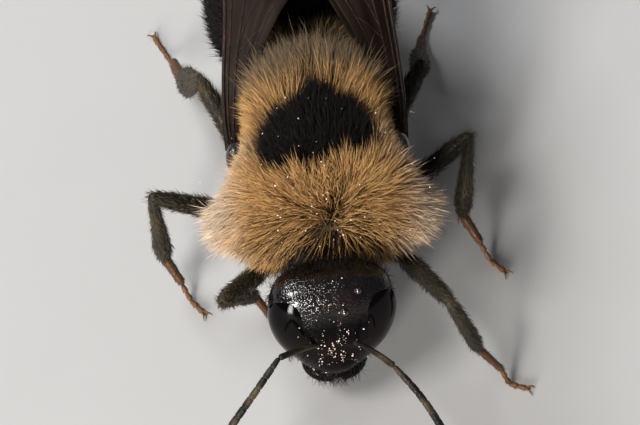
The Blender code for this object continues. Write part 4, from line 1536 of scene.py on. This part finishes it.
class BEE_OT_stage(bpy.types.Operator):
    """Floor, soft lamps and camera"""

    bl_idname = "bee.stage"
    bl_label = "Stage"

    def execute(self, context):
        scene, stage = context.scene, context.scene.bee_stage
        target = Vector(((ORIGIN + LOOK_AT) * MM).tolist())
        a, e = math.radians(stage.azimuth), math.radians(stage.elevation)
        back = Vector((math.sin(a) * math.cos(e), -math.cos(a) * math.cos(e), math.sin(e)))
        camera = bpy.data.cameras.new("camera")
        camera.lens, camera.sensor_width = stage.lens, SENSOR_WIDTH
        camera.clip_start, camera.clip_end = 0.005, 10.0
        made = bpy.data.objects.new("camera", camera)
        scene.collection.objects.link(made)
        aim(made, target + back * stage.distance * MM, target)
        scene.camera = made

        half = FLOOR_HALF_SIDE * MM
        corners = [(-half, -half, 0.0), (half, -half, 0.0), (half, half, 0.0), (-half, half, 0.0)]
        mesh = bpy.data.meshes.new("floor")
        mesh.from_pydata(corners, [], [(0, 1, 2, 3)])
        mesh.materials.append(look("pale_floor", floor_material, tuple(stage.floor)))
        floor = bpy.data.objects.new("floor", mesh)
        scene.collection.objects.link(floor)

        for name, direction, distance, size, power, colour in LAMPS:
            add_lamp(name, target, direction, distance, size, getattr(stage, power), colour)
        world = bpy.data.worlds.new("soft_room")
        world.use_nodes = True
        light = world.node_tree.nodes["Background"]
        light.inputs["Color"].default_value = (0.90, 0.93, 1.0, 1.0)
        light.inputs["Strength"].default_value = stage.ambient
        scene.world = world
        scene.view_settings.view_transform = "Standard"
        return {"FINISHED"}


class BEE_PT_panel(bpy.types.Panel):
    """Lists the steps that build the bee, and what a user would change"""

    bl_label = "Bumblebee"
    bl_idname = "BEE_PT_panel"
    bl_space_type = "VIEW_3D"
    bl_region_type = "UI"
    bl_category = "Bumblebee"

    def draw(self, context):
        for step in STEPS:
            self.layout.operator(step.bl_idname)
        for group in ("bee_colours", "bee_coat", "bee_stage"):
            settings = getattr(context.scene, group)
            box = self.layout.box()
            for name in settings.__annotations__:
                box.prop(settings, name)


STEPS = (
    BEE_OT_skin, BEE_OT_thorax_coat, BEE_OT_abdomen_coat, BEE_OT_head, BEE_OT_eyes,
    BEE_OT_head_coat, BEE_OT_feelers, BEE_OT_wings, BEE_OT_legs, BEE_OT_pollen, BEE_OT_stage,
)
GROUPS = {"bee_colours": BeeColours, "bee_coat": BeeCoat, "bee_stage": BeeStage}


def register():
    for made in (*GROUPS.values(), *STEPS, BEE_PT_panel):
        bpy.utils.register_class(made)
    for name, group in GROUPS.items():
        setattr(bpy.types.Scene, name, bpy.props.PointerProperty(type=group))


def unregister():
    for name in GROUPS:
        delattr(bpy.types.Scene, name)
    for made in (BEE_PT_panel, *reversed(STEPS), *GROUPS.values()):
        bpy.utils.unregister_class(made)


def main():
    register()
    for step in STEPS:
        group, name = step.bl_idname.split(".")
        getattr(getattr(bpy.ops, group), name)()


if __name__ == "__main__":
    main()
